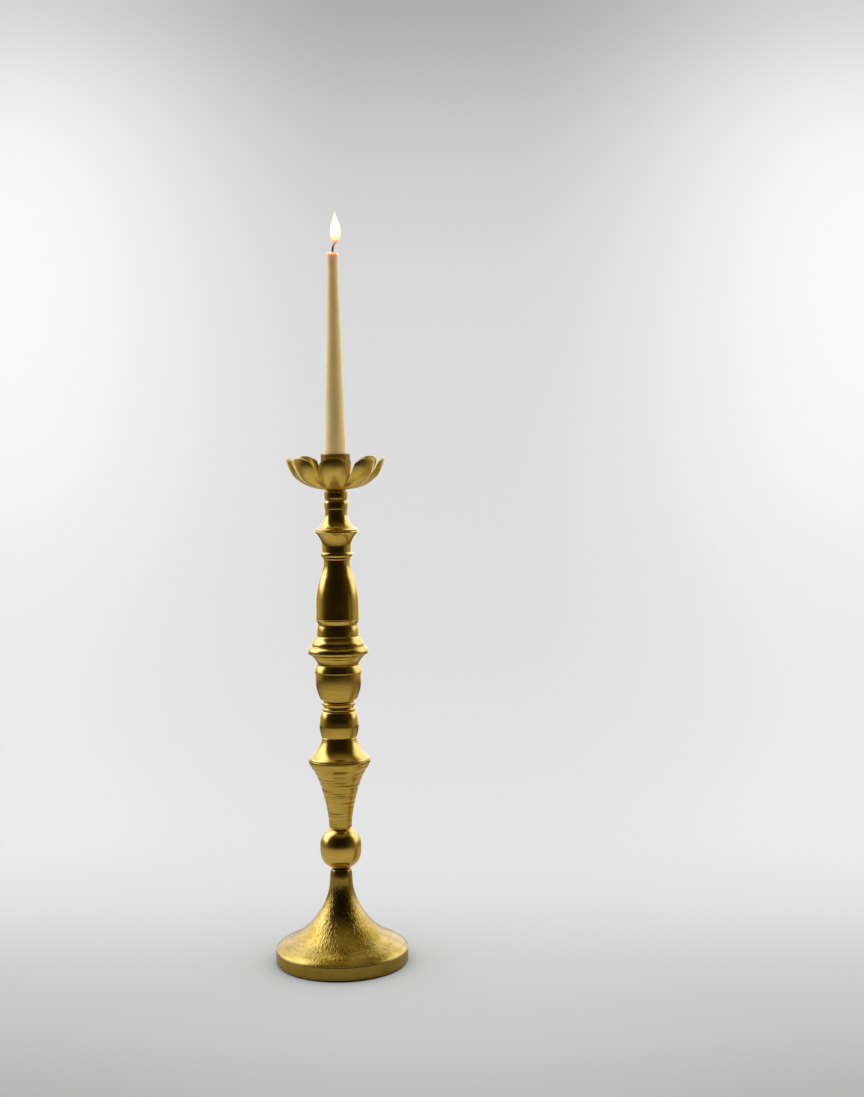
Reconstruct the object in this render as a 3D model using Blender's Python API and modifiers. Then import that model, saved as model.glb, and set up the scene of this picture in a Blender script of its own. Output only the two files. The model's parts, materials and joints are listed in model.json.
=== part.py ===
"""Altar candlestick: a tall turned brass candlestick built as a stack of hollow
turned sections clamped on a central steel tie rod, with a lotus drip pan, a
screw-on candle socket and a taper candle.

Frame: metres, +Z up, origin on the axis at the underside of the foot.
Dimensions are in millimetres, turned into metres by mm(). Touching pieces are
kept slightly apart, mostly by GAP. Z_ names are heights and R_ names are radii.
"""

import math

import bmesh
import bpy
from mathutils import Vector

for old in list(bpy.data.objects):
    bpy.data.objects.remove(old, do_unlink=True)

parts = bpy.data.collections.new("altar_candlestick")
cutters = bpy.data.collections.new("cutters")
bpy.context.scene.collection.children.link(parts)
bpy.context.scene.collection.children.link(cutters)

# ---------------------------------------------------------------- dimensions
GAP = 0.3                 # clearance between pieces that touch
HALF_GAP = GAP / 2.0      # each piece's share of the gap at a parting line
STEPS = 20                # facets round a turned piece
FOOT_STEPS = 28           # facets round the foot

# parting lines up the column
Z_FELT_TOP = 1.5          # felt ring under the foot
Z_FOOT_TOP = 104.2        # foot neck / joint washer
Z_BALL_BASE = 105.9       # joint washer / ball knop
Z_CONE_BASE = 150.4       # ball knop / ribbed cone
Z_SKIRT_BASE = 226.6      # ribbed cone / bell skirt
Z_VASE_BASE = 251.0       # bell skirt / lower vase
Z_RINGS_BASE = 279.6      # lower vase / ring collar
Z_BEAKER_BASE = 292.2     # ring collar / beaker cup
Z_CAVETTO_BASE = 330.4    # beaker cup / cavetto ring
Z_TORUS_BASE = 341.8      # cavetto ring / torus ring
Z_OGEE_BASE = 351.4       # torus ring / ogee collar
Z_DRUM_BASE = 362.0       # ogee collar / drum
Z_BALUSTER_BASE = 380.0   # drum / baluster
Z_FLANGE_BASE = 447.0     # baluster / flange cup
Z_NECK_BASE = 476.0       # flange cup / bell neck
Z_COLLAR_BASE = 508.2     # bell neck / neck collar
Z_PAN_BASE = 518.3        # underside of the drip pan

# hollow sections: each plugs into the one below with a spigot
SPIGOT_RADIUS = {
    "cone": 8.0, "skirt": 27.0, "vase": 15.2, "rings": 14.2, "beaker": 14.2,
    "cavetto": 19.0, "torus": 20.0, "ogee": 20.0, "drum": 19.0, "baluster": 18.6,
    "flange": 10.8, "neck": 10.8, "collar": 8.2,
}
SPIGOT_LENGTH = 2.0
SPIGOT_WALL = 2.4
RECESS_DEPTH = 2.6        # recess that takes the spigot of the section above
MIN_LEDGE = 0.8           # least ledge left under that spigot
WALL = 3.2                # wall of the hollow turned sections

# foot
R_FOOT = 72.6             # outside of the rim band
Z_FOOT_BASE = Z_FELT_TOP + GAP
Z_RIM = 16.4              # top of the rim band
R_FOOT_RING = 62.0        # inside of the solid rim ring
R_FLARE, Z_FLARE = 69.9, 21.6  # where the flare ends and rounds over to the rim
R_SHOULDER = 71.8         # foot of that rounded shoulder, on top of the rim band
R_NECK = 12.3             # plain neck above the flare
Z_FLARE_TOP = 95.0
FLARE_STEPS = 11
FLARE_SPACING = 1.6       # above 1 crowds the flare's points towards the neck
FLARE_POWER_R, FLARE_POWER_Z = 1.42, 2.0  # exponents of the flare's superellipse
Z_WEB = 72.0              # underside of the web that the rod washer bears on
HOLLOW_STATIONS = (24.5, 32.0, 45.0, 58.0)  # outer heights the hollow follows
HOLLOW_DROP = 2.4         # the hollow's points lie this far below those heights
R_FELT = 71.0
FELT_INSET = 0.8          # felt starts this far outside the rim ring's bore
R_JOINT_WASHER = 10.0

# ball knop: a slightly square-shouldered spheroid
R_BALL, HALF_BALL, Z_BALL = 22.4, 22.8, 128.0  # radius, half height, centre
BALL_POWER_UPPER, BALL_POWER_LOWER = 2.4, 2.6
Z_BALL_SIDE = (149.2, 107.2)   # top and bottom of the spheroid's side
BALL_STEPS = 9

# tie rod and its fasteners (M8)
R_ROD = 4.0
R_ROD_BORE = 4.4
R_THREAD_BORE = R_ROD + GAP
Z_ROD_BOTTOM, Z_ROD_TOP = 58.3, 528.4
ROD_CHAMFER = 0.8
ROUND_SEGMENTS = 16       # facets round the rod and the nut bores
R_ROD_WASHER, ROD_WASHER_T = 10.0, 1.6
Z_WASHER_TOP = Z_WEB - GAP
Z_WASHER_BASE = Z_WASHER_TOP - ROD_WASHER_T
NUT_FLATS = 13.0          # across the flats
ROD_NUT_H, LOCK_NUT_H = 6.5, 4.0
R_NUT_RECESS, Z_NUT_RECESS = 9.0, 511.3  # recess in the neck collar

# lotus drip pan
PETALS = 8
PETAL_T = 1.2             # sheet thickness
BOWL_R0, BOWL_REACH = 9.5, 43.4   # root offset and reach of the bowl curve
BOWL_Z0, BOWL_H = 519.8, 34.2     # bottom and height of the bowl curve
R_BOSS = 11.2             # boss under the pan floor
R_PETAL_ROOT = R_BOSS
BOWL_END = math.radians(91.5)     # bowl angle at the petal's tip
ARC_STEPS = 240
PETAL_CUP = 21.0          # transverse radius of a petal
ROOT_FLAT_LENGTH = 16.0   # stretch over which the flatter root turns into the cup
ROOT_EXTRA_RADIUS = 70.0  # added to the transverse radius at the root edge
PETAL_HALF = 17.4         # limit of half the width
WIDTH_BLEND = 6.0         # sharpness of the change from wedge to that limit
PETAL_TIP = 9.5           # length of the rounded tip
PETAL_GAP = 0.3           # half gap between neighbours at the root
R_PAN_BORE = 6.4
Z_PAN_FLOOR = 525.0       # parting line above the pan floor

# candle socket
R_SOCKET, R_SOCKET_BORE = 15.8, 11.9
Z_SOCKET_BASE = 525.2
Z_SOCKET_FLOOR = 531.5
SOCKET_FLOOR_T = 2.0
Z_SOCKET_RIM = 558.5
R_SPIGOT, R_LIP, LIP_H = 6.0, 7.4, 1.3  # spigot through the pan, lip under it

# candle and wick
Z_CANDLE_BASE = Z_SOCKET_FLOOR + GAP
Z_WAX_TOP = 771.5         # top edge of the candle
Z_WICK_TIP = 782.0        # top of the wick
R_CANDLE, R_CANDLE_TOP = 11.5, 6.05
R_WICK, R_WICK_BORE = 0.9, 1.2
WICK_START = 1.0          # wick's lower end above the candle's base
WICK_STRAIGHT = 0.6       # straight wick above the wax
WICK_TIP_DROP = 0.35      # centre line of the tip below Z_WICK_TIP
WICK_LEAN = 3.4           # sideways reach of the bent part
WICK_BEND = 1.35          # part of a sine wave that the bend rises by, radians
WICK_BEND_STEPS = 5

# finishes
BRASS = (0.62, 0.43, 0.12)
SATIN = dict(color=BRASS, metallic=1.0, roughness=0.32)
BRIGHT = dict(color=(0.70, 0.50, 0.16), metallic=1.0, roughness=0.2)
DARK = dict(color=(0.07, 0.06, 0.05), metallic=0.8, roughness=0.5)
STEEL = dict(color=(0.55, 0.55, 0.56), metallic=1.0, roughness=0.35)
FELT = dict(color=(0.05, 0.09, 0.05), metallic=0.0, roughness=0.95)
WAX = dict(color=(0.90, 0.84, 0.66), metallic=0.0, roughness=0.45)
COTTON = dict(color=(0.03, 0.025, 0.02), metallic=0.0, roughness=0.9)


def mm(value):
    return value * 0.001


# ------------------------------------------------------------- scene helpers
def material(name, color, metallic, roughness):
    made = bpy.data.materials.new(name)
    made.use_nodes = True
    inputs = made.node_tree.nodes["Principled BSDF"].inputs
    inputs["Base Color"].default_value = (*color, 1.0)
    inputs["Metallic"].default_value = metallic
    inputs["Roughness"].default_value = roughness
    made.diffuse_color = (*color, 1.0)
    return made


def place(name, data, parent, z):
    """Adds an object on the axis at height z above the foot's underside, under its parent."""
    obj = bpy.data.objects.new(name, data)
    parts.objects.link(obj)
    obj.parent = parent
    base = 0.0
    while parent is not None:
        base += parent.location.z
        parent = parent.parent
    obj.location = (0.0, 0.0, mm(z) - base)
    return obj


def carrier(name, z, parent=None):
    """An empty that carries a group of pieces."""
    obj = place(name, None, parent, z)
    obj.empty_display_size = 0.02
    return obj


def turned(name, profile, parent, finish, closed=True, steps=STEPS):
    """A turned piece: its profile in the XZ plane, swept round Z by a Screw modifier."""
    base = min(z for _, z in profile)
    points = [(mm(radius), 0.0, mm(z - base)) for radius, z in profile]
    edges = [(i, i + 1) for i in range(len(points) - 1)]
    if closed:
        edges.append((len(points) - 1, 0))
    mesh = bpy.data.meshes.new(name)
    mesh.from_pydata(points, edges, [])
    mesh.materials.append(material(name, **finish))
    screw = place(name, mesh, parent, base).modifiers.new("turn", "SCREW")
    screw.axis = "Z"
    screw.angle = math.tau
    screw.steps = steps
    screw.render_steps = steps
    screw.use_smooth_shade = True
    screw.use_merge_vertices = True
    screw.merge_threshold = 0.00001


def prism_mesh(name, segments, radius, height, lift=0.0):
    """A prism along Z, its middle at height lift."""
    mesh = bpy.data.meshes.new(name)
    builder = bmesh.new()
    bmesh.ops.create_cone(
        builder, cap_ends=True, segments=segments,
        radius1=mm(radius), radius2=mm(radius), depth=mm(height),
    )
    bmesh.ops.translate(builder, verts=builder.verts, vec=(0.0, 0.0, mm(lift)))
    builder.to_mesh(mesh)
    builder.free()
    return mesh


# ------------------------------------------------------------ profile helpers
# A profile is a list of (radius, height) in mm, running down the outer side.
def bow(start, end, bulge, steps):
    """Points after start to end on a shallow arc, bowed outwards (inwards if negative)."""
    run, rise = end[0] - start[0], end[1] - start[1]
    length = math.hypot(run, rise)
    points = []
    for i in range(1, steps + 1):
        part = i / steps
        offset = bulge * 4.0 * part * (1.0 - part) / length
        points.append((start[0] + run * part - rise * offset,
                       start[1] + rise * part + run * offset))
    return points


def bead(start, end, bulge, steps):
    """Points after start to end on a half ellipse standing out by bulge."""
    points = []
    for i in range(1, steps + 1):
        angle = math.pi * i / steps
        part = (1.0 - math.cos(angle)) / 2.0
        points.append((start[0] + (end[0] - start[0]) * part + bulge * math.sin(angle),
                       start[1] + (end[1] - start[1]) * part))
    return points


def spheroid():
    """The ball knop's side, from top to bottom."""
    first, last = (math.acos((z - Z_BALL) / HALF_BALL) for z in Z_BALL_SIDE)
    points = []
    for i in range(BALL_STEPS + 1):
        z = math.cos(first + (last - first) * i / BALL_STEPS)
        power = BALL_POWER_UPPER if z > 0.0 else BALL_POWER_LOWER
        points.append((R_BALL * (1.0 - abs(z) ** power) ** (1.0 / power), Z_BALL + HALF_BALL * z))
    return points


def flare():
    """The foot's concave flare, from the neck down to the rim."""
    reach, height = R_FLARE - R_NECK, Z_FLARE_TOP - Z_FLARE
    points = []
    for i in range(FLARE_STEPS + 1):
        radius = R_NECK + reach * (i / FLARE_STEPS) ** FLARE_SPACING
        # the last point may overshoot by a rounding error
        left = max(0.0, R_FLARE - radius) / reach
        fall = max(0.0, 1.0 - left ** FLARE_POWER_R) ** (1.0 / FLARE_POWER_Z)
        points.append((radius, Z_FLARE_TOP - height * fall))
    return points


def radius_at(profile, z):
    """Outer radius of a profile at a height."""
    for (r0, z0), (r1, z1) in zip(profile, profile[1:]):
        if min(z0, z1) <= z <= max(z0, z1) and abs(z0 - z1) > 1e-6:
            return r0 + (r1 - r0) * (z0 - z) / (z0 - z1)
    return profile[0][0] if z > profile[0][1] else profile[-1][0]


def section(name, side, below, above, finish, stations=()):
    """A hollow section of the column, closed from its outer side.

    below: key of the spigot under the section, or None; above: key of the spigot
    that plugs into its top; stations: heights where the bore follows the outside
    at one wall thickness.
    """
    top, bottom = side[0][1], side[-1][1]
    profile = list(side)
    if below:
        spigot = SPIGOT_RADIUS[below]
        bore = spigot - SPIGOT_WALL
        foot = bottom - SPIGOT_LENGTH
        profile += [(spigot, bottom), (spigot, foot), (bore, foot)]
    else:
        bore = R_ROD_BORE
        profile.append((bore, bottom))
    for z in stations:
        profile.append((max(bore, radius_at(side, z) - WALL), z))
    plug = SPIGOT_RADIUS[above]
    ledge = min(max(bore, plug - SPIGOT_WALL), plug - MIN_LEDGE)
    floor = top - RECESS_DEPTH
    profile += [(ledge, floor), (plug + GAP, floor), (plug + GAP, top)]
    turned(name, profile, column, finish)


# -------------------------------------------------------------- foot and joint
def felt_ring():
    inner = R_FOOT_RING + FELT_INSET
    profile = [(R_FELT, Z_FELT_TOP), (R_FELT, 0.0), (inner, 0.0), (inner, Z_FELT_TOP)]
    turned("felt_ring", profile, column, FELT)


def foot():
    top = Z_FOOT_TOP - HALF_GAP
    outer = [(R_NECK - 1.6, top), (R_NECK - 1.2, Z_FOOT_TOP - 1.2), (R_NECK - 0.4, 99.0)]
    outer += flare()
    outer += [
        (71.2, 20.0), (R_SHOULDER, 18.0), (R_SHOULDER - 0.1, Z_RIM),
        (R_FOOT - 0.3, Z_RIM), (R_FOOT, Z_RIM - 0.8),
        (R_FOOT, Z_FOOT_BASE + 0.6), (R_FOOT - 0.6, Z_FOOT_BASE),
    ]
    inner = [(R_FOOT_RING, Z_FOOT_BASE), (R_FOOT_RING, Z_RIM - 3.0)]
    inner += [(radius_at(outer, z) - WALL, z - HOLLOW_DROP) for z in HOLLOW_STATIONS]
    inner += [(radius_at(outer, Z_WEB) - WALL, Z_WEB), (R_ROD_BORE, Z_WEB), (R_ROD_BORE, top)]
    turned("foot", outer + inner, column, SATIN, steps=FOOT_STEPS)


def joint_washer():
    top, bottom = Z_BALL_BASE - HALF_GAP, Z_FOOT_TOP + HALF_GAP
    turned("joint_washer", [
        (R_JOINT_WASHER - 0.2, top), (R_JOINT_WASHER, Z_BALL_BASE - 0.6),
        (R_JOINT_WASHER, Z_FOOT_TOP + 0.6), (R_JOINT_WASHER - 0.2, bottom),
        (R_ROD_BORE, bottom), (R_ROD_BORE, top),
    ], column, DARK)


# ------------------------------------------------- column sections, bottom up
# Each side lists (radius, height) from the section's top to its bottom.
def ball_knop():
    side = [(10.4, Z_CONE_BASE - HALF_GAP)] + spheroid()
    side += [(11.6, 106.5), (11.0, Z_BALL_BASE + HALF_GAP)]
    section("ball_knop", side, None, "cone", BRIGHT, (114.0, 121.0, 135.0, 142.0))


def ribbed_cone():
    side = [(32.9, Z_SKIRT_BASE - HALF_GAP), (33.5, 226.0), (33.5, 224.0)]
    side += bow(side[-1], (29.9, 216.2), bulge=0.6, steps=3)
    side += bow(side[-1], (19.0, 190.0), bulge=-1.2, steps=4)
    side += bow(side[-1], (12.2, Z_CONE_BASE + HALF_GAP), bulge=-1.2, steps=4)
    section("ribbed_cone", side, "cone", "skirt", SATIN, (170.0, 195.0, 212.0))


def bell_skirt():
    side = [(19.2, Z_VASE_BASE - HALF_GAP), (19.5, 250.2)]
    side += bow(side[-1], (29.8, 230.6), bulge=-2.0, steps=6)
    side += [(32.6, 228.6), (33.4, 227.4), (33.1, Z_SKIRT_BASE + HALF_GAP)]
    section("bell_skirt", side, "skirt", "vase", SATIN, (232.0,))


def lower_vase():
    side = [(18.3, Z_RINGS_BASE - HALF_GAP), (19.1, 278.6)]
    side += bow(side[-1], (21.5, 268.0), bulge=0.5, steps=4)
    side += bow((21.6, 264.0), (19.3, Z_VASE_BASE + HALF_GAP), bulge=0.3, steps=4)
    section("lower_vase", side, "vase", "rings", BRIGHT, (258.0, 272.0))


def ring_collar():
    side = [(17.4, Z_BEAKER_BASE - HALF_GAP), (17.0, 290.8), (17.2, 289.2)]
    side += bead(side[-1], (17.2, 286.0), bulge=1.5, steps=4)
    side += [(16.9, 284.7), (17.2, 283.2)]
    side += bead(side[-1], (17.4, 280.4), bulge=1.4, steps=4)
    side += [(17.5, Z_RINGS_BASE + HALF_GAP)]
    section("ring_collar", side, "rings", "beaker", BRIGHT)


def beaker_cup():
    side = [(23.2, Z_CAVETTO_BASE - HALF_GAP)]
    side += bow(side[-1], (26.2, 322.6), bulge=0.3, steps=4)
    side += [(25.8, 321.9)]
    side += bow(side[-1], (19.7, Z_BEAKER_BASE + HALF_GAP), bulge=1.85, steps=6)
    section("beaker_cup", side, "beaker", "cavetto", SATIN, (299.0, 312.0, 322.0))


def cavetto_ring():
    side = [(30.4, Z_TORUS_BASE - HALF_GAP), (30.4, 341.0), (28.0, 340.0), (27.5, 338.8)]
    side += bow(side[-1], (24.9, 335.4), bulge=-0.3, steps=2)
    side += [(23.9, 334.4), (23.6, 333.2), (23.4, Z_CAVETTO_BASE + HALF_GAP)]
    section("cavetto_ring", side, "cavetto", "torus", SATIN)


def torus_ring():
    side = [(28.6, Z_OGEE_BASE - HALF_GAP), (28.8, 350.6)]
    side += bead(side[-1], (30.5, Z_TORUS_BASE + HALF_GAP), bulge=3.8, steps=7)
    section("torus_ring", side, "torus", "ogee", BRIGHT)


def ogee_collar():
    side = [(23.8, Z_DRUM_BASE - HALF_GAP), (24.3, 361.2)]
    side += bow(side[-1], (27.6, 356.0), bulge=-0.2, steps=2)
    side += bow(side[-1], (28.9, Z_OGEE_BASE + HALF_GAP), bulge=0.5, steps=3)
    section("ogee_collar", side, "ogee", "drum", BRIGHT)


def drum():
    side = [(23.7, Z_BALUSTER_BASE - HALF_GAP), (23.9, 379.2), (22.7, 377.2), (21.9, 375.0)]
    side += bow((21.7, 374.2), (23.4, Z_DRUM_BASE + HALF_GAP), bulge=0.6, steps=4)
    section("drum", side, "drum", "baluster", BRIGHT)


def baluster():
    side = [(15.6, Z_FLANGE_BASE - HALF_GAP), (15.5, 445.5), (14.7, 444.5), (14.7, 440.6)]
    side += bow(side[-1], (18.4, 426.0), bulge=-0.7, steps=3)
    side += bow(side[-1], (24.0, 392.0), bulge=1.6, steps=5)
    side += [(24.0, 380.6), (23.7, Z_BALUSTER_BASE + HALF_GAP)]
    section("baluster", side, "baluster", "flange", BRIGHT, (388.0, 408.0, 428.0))


def flange_cup():
    side = [(23.6, Z_NECK_BASE - HALF_GAP), (24.2, 475.2), (24.2, 474.5)]
    side += bow(side[-1], (16.3, 459.6), bulge=-1.4, steps=5)
    side += [(16.1, 452.6)]
    side += bead(side[-1], (15.6, Z_FLANGE_BASE + HALF_GAP), bulge=2.1, steps=5)
    section("flange_cup", side, "flange", "neck", BRIGHT)


def bell_neck():
    side = [(12.3, Z_COLLAR_BASE - HALF_GAP), (12.6, 507.2)]
    side += bead(side[-1], (12.6, 498.8), bulge=0.7, steps=4)
    side += [(12.5, 498.0), (12.4, 492.8)]
    side += bow(side[-1], (19.4, 479.4), bulge=-1.3, steps=5)
    side += [(21.4, 478.2), (23.3, 477.4), (23.5, 476.8), (23.2, Z_NECK_BASE + HALF_GAP)]
    section("bell_neck", side, "neck", "collar", BRIGHT)


def neck_collar():
    """The top section, recessed for the lock nut."""
    top, bottom = Z_PAN_BASE - GAP, Z_COLLAR_BASE + HALF_GAP
    spigot = SPIGOT_RADIUS["collar"]
    turned("neck_collar", [
        (12.6, top), (13.2, 517.2), (13.2, 511.6), (12.5, 509.6), (12.4, bottom),
        (spigot, bottom), (spigot, bottom - SPIGOT_LENGTH),
        (R_ROD_BORE, bottom - SPIGOT_LENGTH), (R_ROD_BORE, Z_NUT_RECESS),
        (R_NUT_RECESS, Z_NUT_RECESS), (R_NUT_RECESS, top),
    ], column, BRIGHT)


# -------------------------------------------------- tie rod and its fasteners
def tie_rod():
    length = Z_ROD_TOP - Z_ROD_BOTTOM
    mesh = prism_mesh("tie_rod", ROUND_SEGMENTS, R_ROD, length, lift=length / 2.0)
    mesh.materials.append(material("tie_rod", **STEEL))
    rod = place("tie_rod", mesh, column, Z_ROD_BOTTOM)
    chamfer = rod.modifiers.new("chamfer", "BEVEL")
    chamfer.width = mm(ROD_CHAMFER)
    chamfer.segments = 1
    chamfer.limit_method = "ANGLE"
    chamfer.angle_limit = math.radians(40.0)


def rod_washer():
    turned("rod_washer", [
        (R_ROD_WASHER, Z_WASHER_TOP), (R_ROD_WASHER, Z_WASHER_BASE),
        (R_ROD_BORE, Z_WASHER_BASE), (R_ROD_BORE, Z_WASHER_TOP),
    ], column, STEEL)


def hex_nut(name, base, height):
    """A hexagon nut: a six-sided prism, bored with a cylinder."""
    middle = base + height / 2.0
    mesh = prism_mesh(name, 6, NUT_FLATS / math.sqrt(3.0), height)
    mesh.materials.append(material(name, **STEEL))
    nut = place(name, mesh, column, middle)

    bore_name = name + "_bore"
    bore_mesh = prism_mesh(bore_name, ROUND_SEGMENTS, R_THREAD_BORE, height * 2.0)
    bore = bpy.data.objects.new(bore_name, bore_mesh)
    cutters.objects.link(bore)
    bore.location = (0.0, 0.0, mm(middle))
    bore.hide_render = True
    bore.display_type = "WIRE"

    cut = nut.modifiers.new("bore", "BOOLEAN")
    cut.operation = "DIFFERENCE"
    cut.object = bore


# -------------------------------------------------------------- lotus drip pan
def pan_floor():
    top = Z_PAN_FLOOR - HALF_GAP
    turned("pan_floor", [
        (15.6, top), (17.0, 524.4), (17.1, 523.4), (R_BOSS - 0.6, 522.1),
        (R_BOSS - 0.6, 519.5), (R_BOSS, 519.3), (R_BOSS, 518.7), (R_BOSS - 0.4, Z_PAN_BASE),
        (R_PAN_BORE, Z_PAN_BASE), (R_PAN_BORE, top),
    ], pan_carrier, SATIN)


def bowl(angle):
    """Point (radius, height) of the bowl curve and its inward normal, by angle from the bottom."""
    sine, cosine = math.sin(angle), math.cos(angle)
    point = Vector((BOWL_R0 + BOWL_REACH * sine, BOWL_Z0 + BOWL_H * (1.0 - cosine)))
    run, rise = BOWL_REACH * cosine, BOWL_H * sine
    length = math.hypot(run, rise)
    return point, Vector((-rise / length, run / length))


BOWL_START = math.asin((R_PETAL_ROOT - BOWL_R0) / BOWL_REACH)


def step_angle(step):
    """Bowl angle at a step, whole or part, of the arc length table."""
    return BOWL_START + (BOWL_END - BOWL_START) * step / ARC_STEPS


# arc length from the root at each step
arc = [0.0]
for i in range(ARC_STEPS):
    arc.append(arc[-1] + (bowl(step_angle(i + 1))[0] - bowl(step_angle(i))[0]).length)
PETAL_LENGTH = arc[-1]


def angle_at(distance):
    """Bowl angle at an arc length from the root."""
    distance = min(max(distance, 0.0), PETAL_LENGTH)
    for i in range(ARC_STEPS):
        if arc[i + 1] >= distance:
            return step_angle(i + (distance - arc[i]) / (arc[i + 1] - arc[i]))
    return BOWL_END


def cup_radius(distance):
    """Transverse radius: nearly flat where the root sits on the pan's floor, then a deep cup."""
    flat = max(0.0, 1.0 - distance / ROOT_FLAT_LENGTH)
    return PETAL_CUP + ROOT_EXTRA_RADIUS * flat * flat


def half_width(distance):
    """Half the petal's width: it fills its share of the bowl, up to the limit PETAL_HALF."""
    centre, inward = bowl(angle_at(distance))
    cup = cup_radius(distance)
    slope = math.tan(math.pi / PETALS)
    wedge = centre.x * slope - PETAL_GAP
    for _ in range(3):  # the cupped edge lies nearer the axis than the petal's middle
        lift = cup - math.sqrt(max(1.0, cup ** 2 - wedge ** 2))
        wedge = (centre.x + inward.x * lift) * slope - PETAL_GAP
    return (wedge ** -WIDTH_BLEND + PETAL_HALF ** -WIDTH_BLEND) ** (-1.0 / WIDTH_BLEND)


def petal_point(along, across):
    """Point of a petal's outer face: along is 0 at the root, 1 at the tip; across is -1 to 1."""
    tip_cut = PETAL_TIP * (1.0 - math.sqrt(max(0.0, 1.0 - across * across)))
    distance = along * (PETAL_LENGTH - tip_cut)
    centre, inward = bowl(angle_at(distance))
    cup = cup_radius(distance)
    turn = across * math.asin(min(0.999, half_width(distance) / cup))
    lift = cup * (1.0 - math.cos(turn))
    return Vector((
        mm(centre.x + inward.x * lift),
        mm(cup * math.sin(turn)),
        mm(centre.y + inward.y * lift - Z_PAN_BASE),
    ))


def petal_sheet():
    """The petal's outer face, shared by all the petals."""
    mesh = bpy.data.meshes.new("petal")
    builder = bmesh.new()
    bmesh.ops.create_grid(builder, x_segments=8, y_segments=6, size=1.0)
    for vert in builder.verts:
        vert.co = petal_point((vert.co.x + 1.0) / 2.0, vert.co.y)
    bmesh.ops.recalc_face_normals(builder, faces=builder.faces)
    builder.normal_update()
    # normals must point away from the axis, so that the sheet thickens inwards
    target = petal_point(0.5, 0.0)
    middle = min(builder.faces, key=lambda face: (face.calc_center_median() - target).length)
    if middle.normal.x < 0.0:
        bmesh.ops.reverse_faces(builder, faces=builder.faces)
    builder.to_mesh(mesh)
    builder.free()
    mesh.shade_smooth()
    mesh.materials.append(material("petal", **SATIN))
    return mesh


def petals():
    mesh = petal_sheet()
    for i in range(PETALS):
        petal = place(f"petal_{i + 1}", mesh, pan_carrier, Z_PAN_BASE)
        petal.rotation_euler = (0.0, 0.0, math.tau * i / PETALS - math.pi / 2.0)
        sheet = petal.modifiers.new("sheet", "SOLIDIFY")
        sheet.thickness = mm(PETAL_T)
        sheet.offset = -1.0
        sheet.use_rim = True


# ----------------------------------------------------------- socket and candle
def candle_socket():
    """Starts on the axis at the cup's floor, runs over the rim and back to the axis."""
    lip_top = Z_PAN_BASE - GAP
    floor_base = Z_SOCKET_FLOOR - SOCKET_FLOOR_T
    turned("candle_socket", [
        (0.0, Z_SOCKET_FLOOR), (R_SOCKET_BORE, Z_SOCKET_FLOOR),
        (R_SOCKET_BORE, Z_SOCKET_RIM - 0.8), (R_SOCKET_BORE + 0.8, Z_SOCKET_RIM),
        (R_SOCKET - 0.6, Z_SOCKET_RIM), (R_SOCKET, Z_SOCKET_RIM - 0.6),
        (R_SOCKET, Z_SOCKET_BASE + 0.5), (R_SOCKET - 0.5, Z_SOCKET_BASE),
        (R_SPIGOT, Z_SOCKET_BASE), (R_SPIGOT, lip_top),
        (R_LIP, lip_top), (R_LIP, lip_top - LIP_H),
        (R_THREAD_BORE, lip_top - LIP_H), (R_THREAD_BORE, floor_base), (0.0, floor_base),
    ], socket_pivot, SATIN, closed=False)


def candle():
    turned("candle", [
        (4.6, Z_WAX_TOP - 0.5), (5.6, Z_WAX_TOP), (R_CANDLE_TOP, Z_WAX_TOP - 1.0),
        (R_CANDLE_TOP, 751.5), (8.7, 660.0), (R_CANDLE - 0.05, 565.5),
        (R_CANDLE, Z_CANDLE_BASE + 2.5), (R_CANDLE - 0.9, Z_CANDLE_BASE),
        (R_WICK_BORE, Z_CANDLE_BASE), (R_WICK_BORE, Z_WAX_TOP - 1.4),
    ], candle_carrier, WAX)


def wick():
    """Straight through the candle, then bent over towards +X."""
    bend_base = Z_WAX_TOP + WICK_STRAIGHT
    rise = Z_WICK_TIP - WICK_TIP_DROP - bend_base
    points = [(0.0, Z_CANDLE_BASE + WICK_START), (0.0, bend_base)]
    for i in range(1, WICK_BEND_STEPS + 1):
        part = i / WICK_BEND_STEPS
        height = rise * math.sin(part * WICK_BEND) / math.sin(WICK_BEND)
        points.append((WICK_LEAN * part * part, bend_base + height))
    curve = bpy.data.curves.new("wick", "CURVE")
    curve.dimensions = "3D"
    curve.bevel_depth = mm(R_WICK)
    curve.bevel_resolution = 2
    curve.use_fill_caps = True
    spline = curve.splines.new("POLY")
    spline.points.add(len(points) - 1)
    for point, (x, z) in zip(spline.points, points):
        point.co = (mm(x), 0.0, mm(z - Z_CANDLE_BASE), 1.0)
    curve.materials.append(material("wick", **COTTON))
    place("wick", curve, candle_carrier, Z_CANDLE_BASE)


# -------------------------------------------------------------------- assembly
column = carrier("column", 0.0)
pan_carrier = carrier("pan_carrier", Z_PAN_BASE, column)
socket_pivot = carrier("socket_pivot", Z_SOCKET_BASE, pan_carrier)
candle_carrier = carrier("candle_carrier", Z_SOCKET_FLOOR, socket_pivot)

for build in (
    felt_ring, foot, joint_washer,
    ball_knop, ribbed_cone, bell_skirt, lower_vase, ring_collar, beaker_cup, cavetto_ring,
    torus_ring, ogee_collar, drum, baluster, flange_cup, bell_neck, neck_collar,
    tie_rod, rod_washer,
):
    build()
hex_nut("rod_nut", Z_WASHER_BASE - GAP - ROD_NUT_H, ROD_NUT_H)
hex_nut("lock_nut", Z_NUT_RECESS + GAP, LOCK_NUT_H)
for build in (pan_floor, petals, candle_socket, candle, wick):
    build()
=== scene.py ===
"""Altar candlestick: turned, hammered and sheet brass, a steel tie rod, felt, and a burning candle.

It stands upright on Z, with its axis at x = y = 0; the camera looks along +Y and +X is to the right.
Profiles are (radius, height) in mm, running down the outer side. Each is shifted in height to
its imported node's box. Everything else is in metres.
"""

import json
import math

import bmesh
import bpy
import numpy as np
from mathutils import Matrix, Vector

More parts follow.
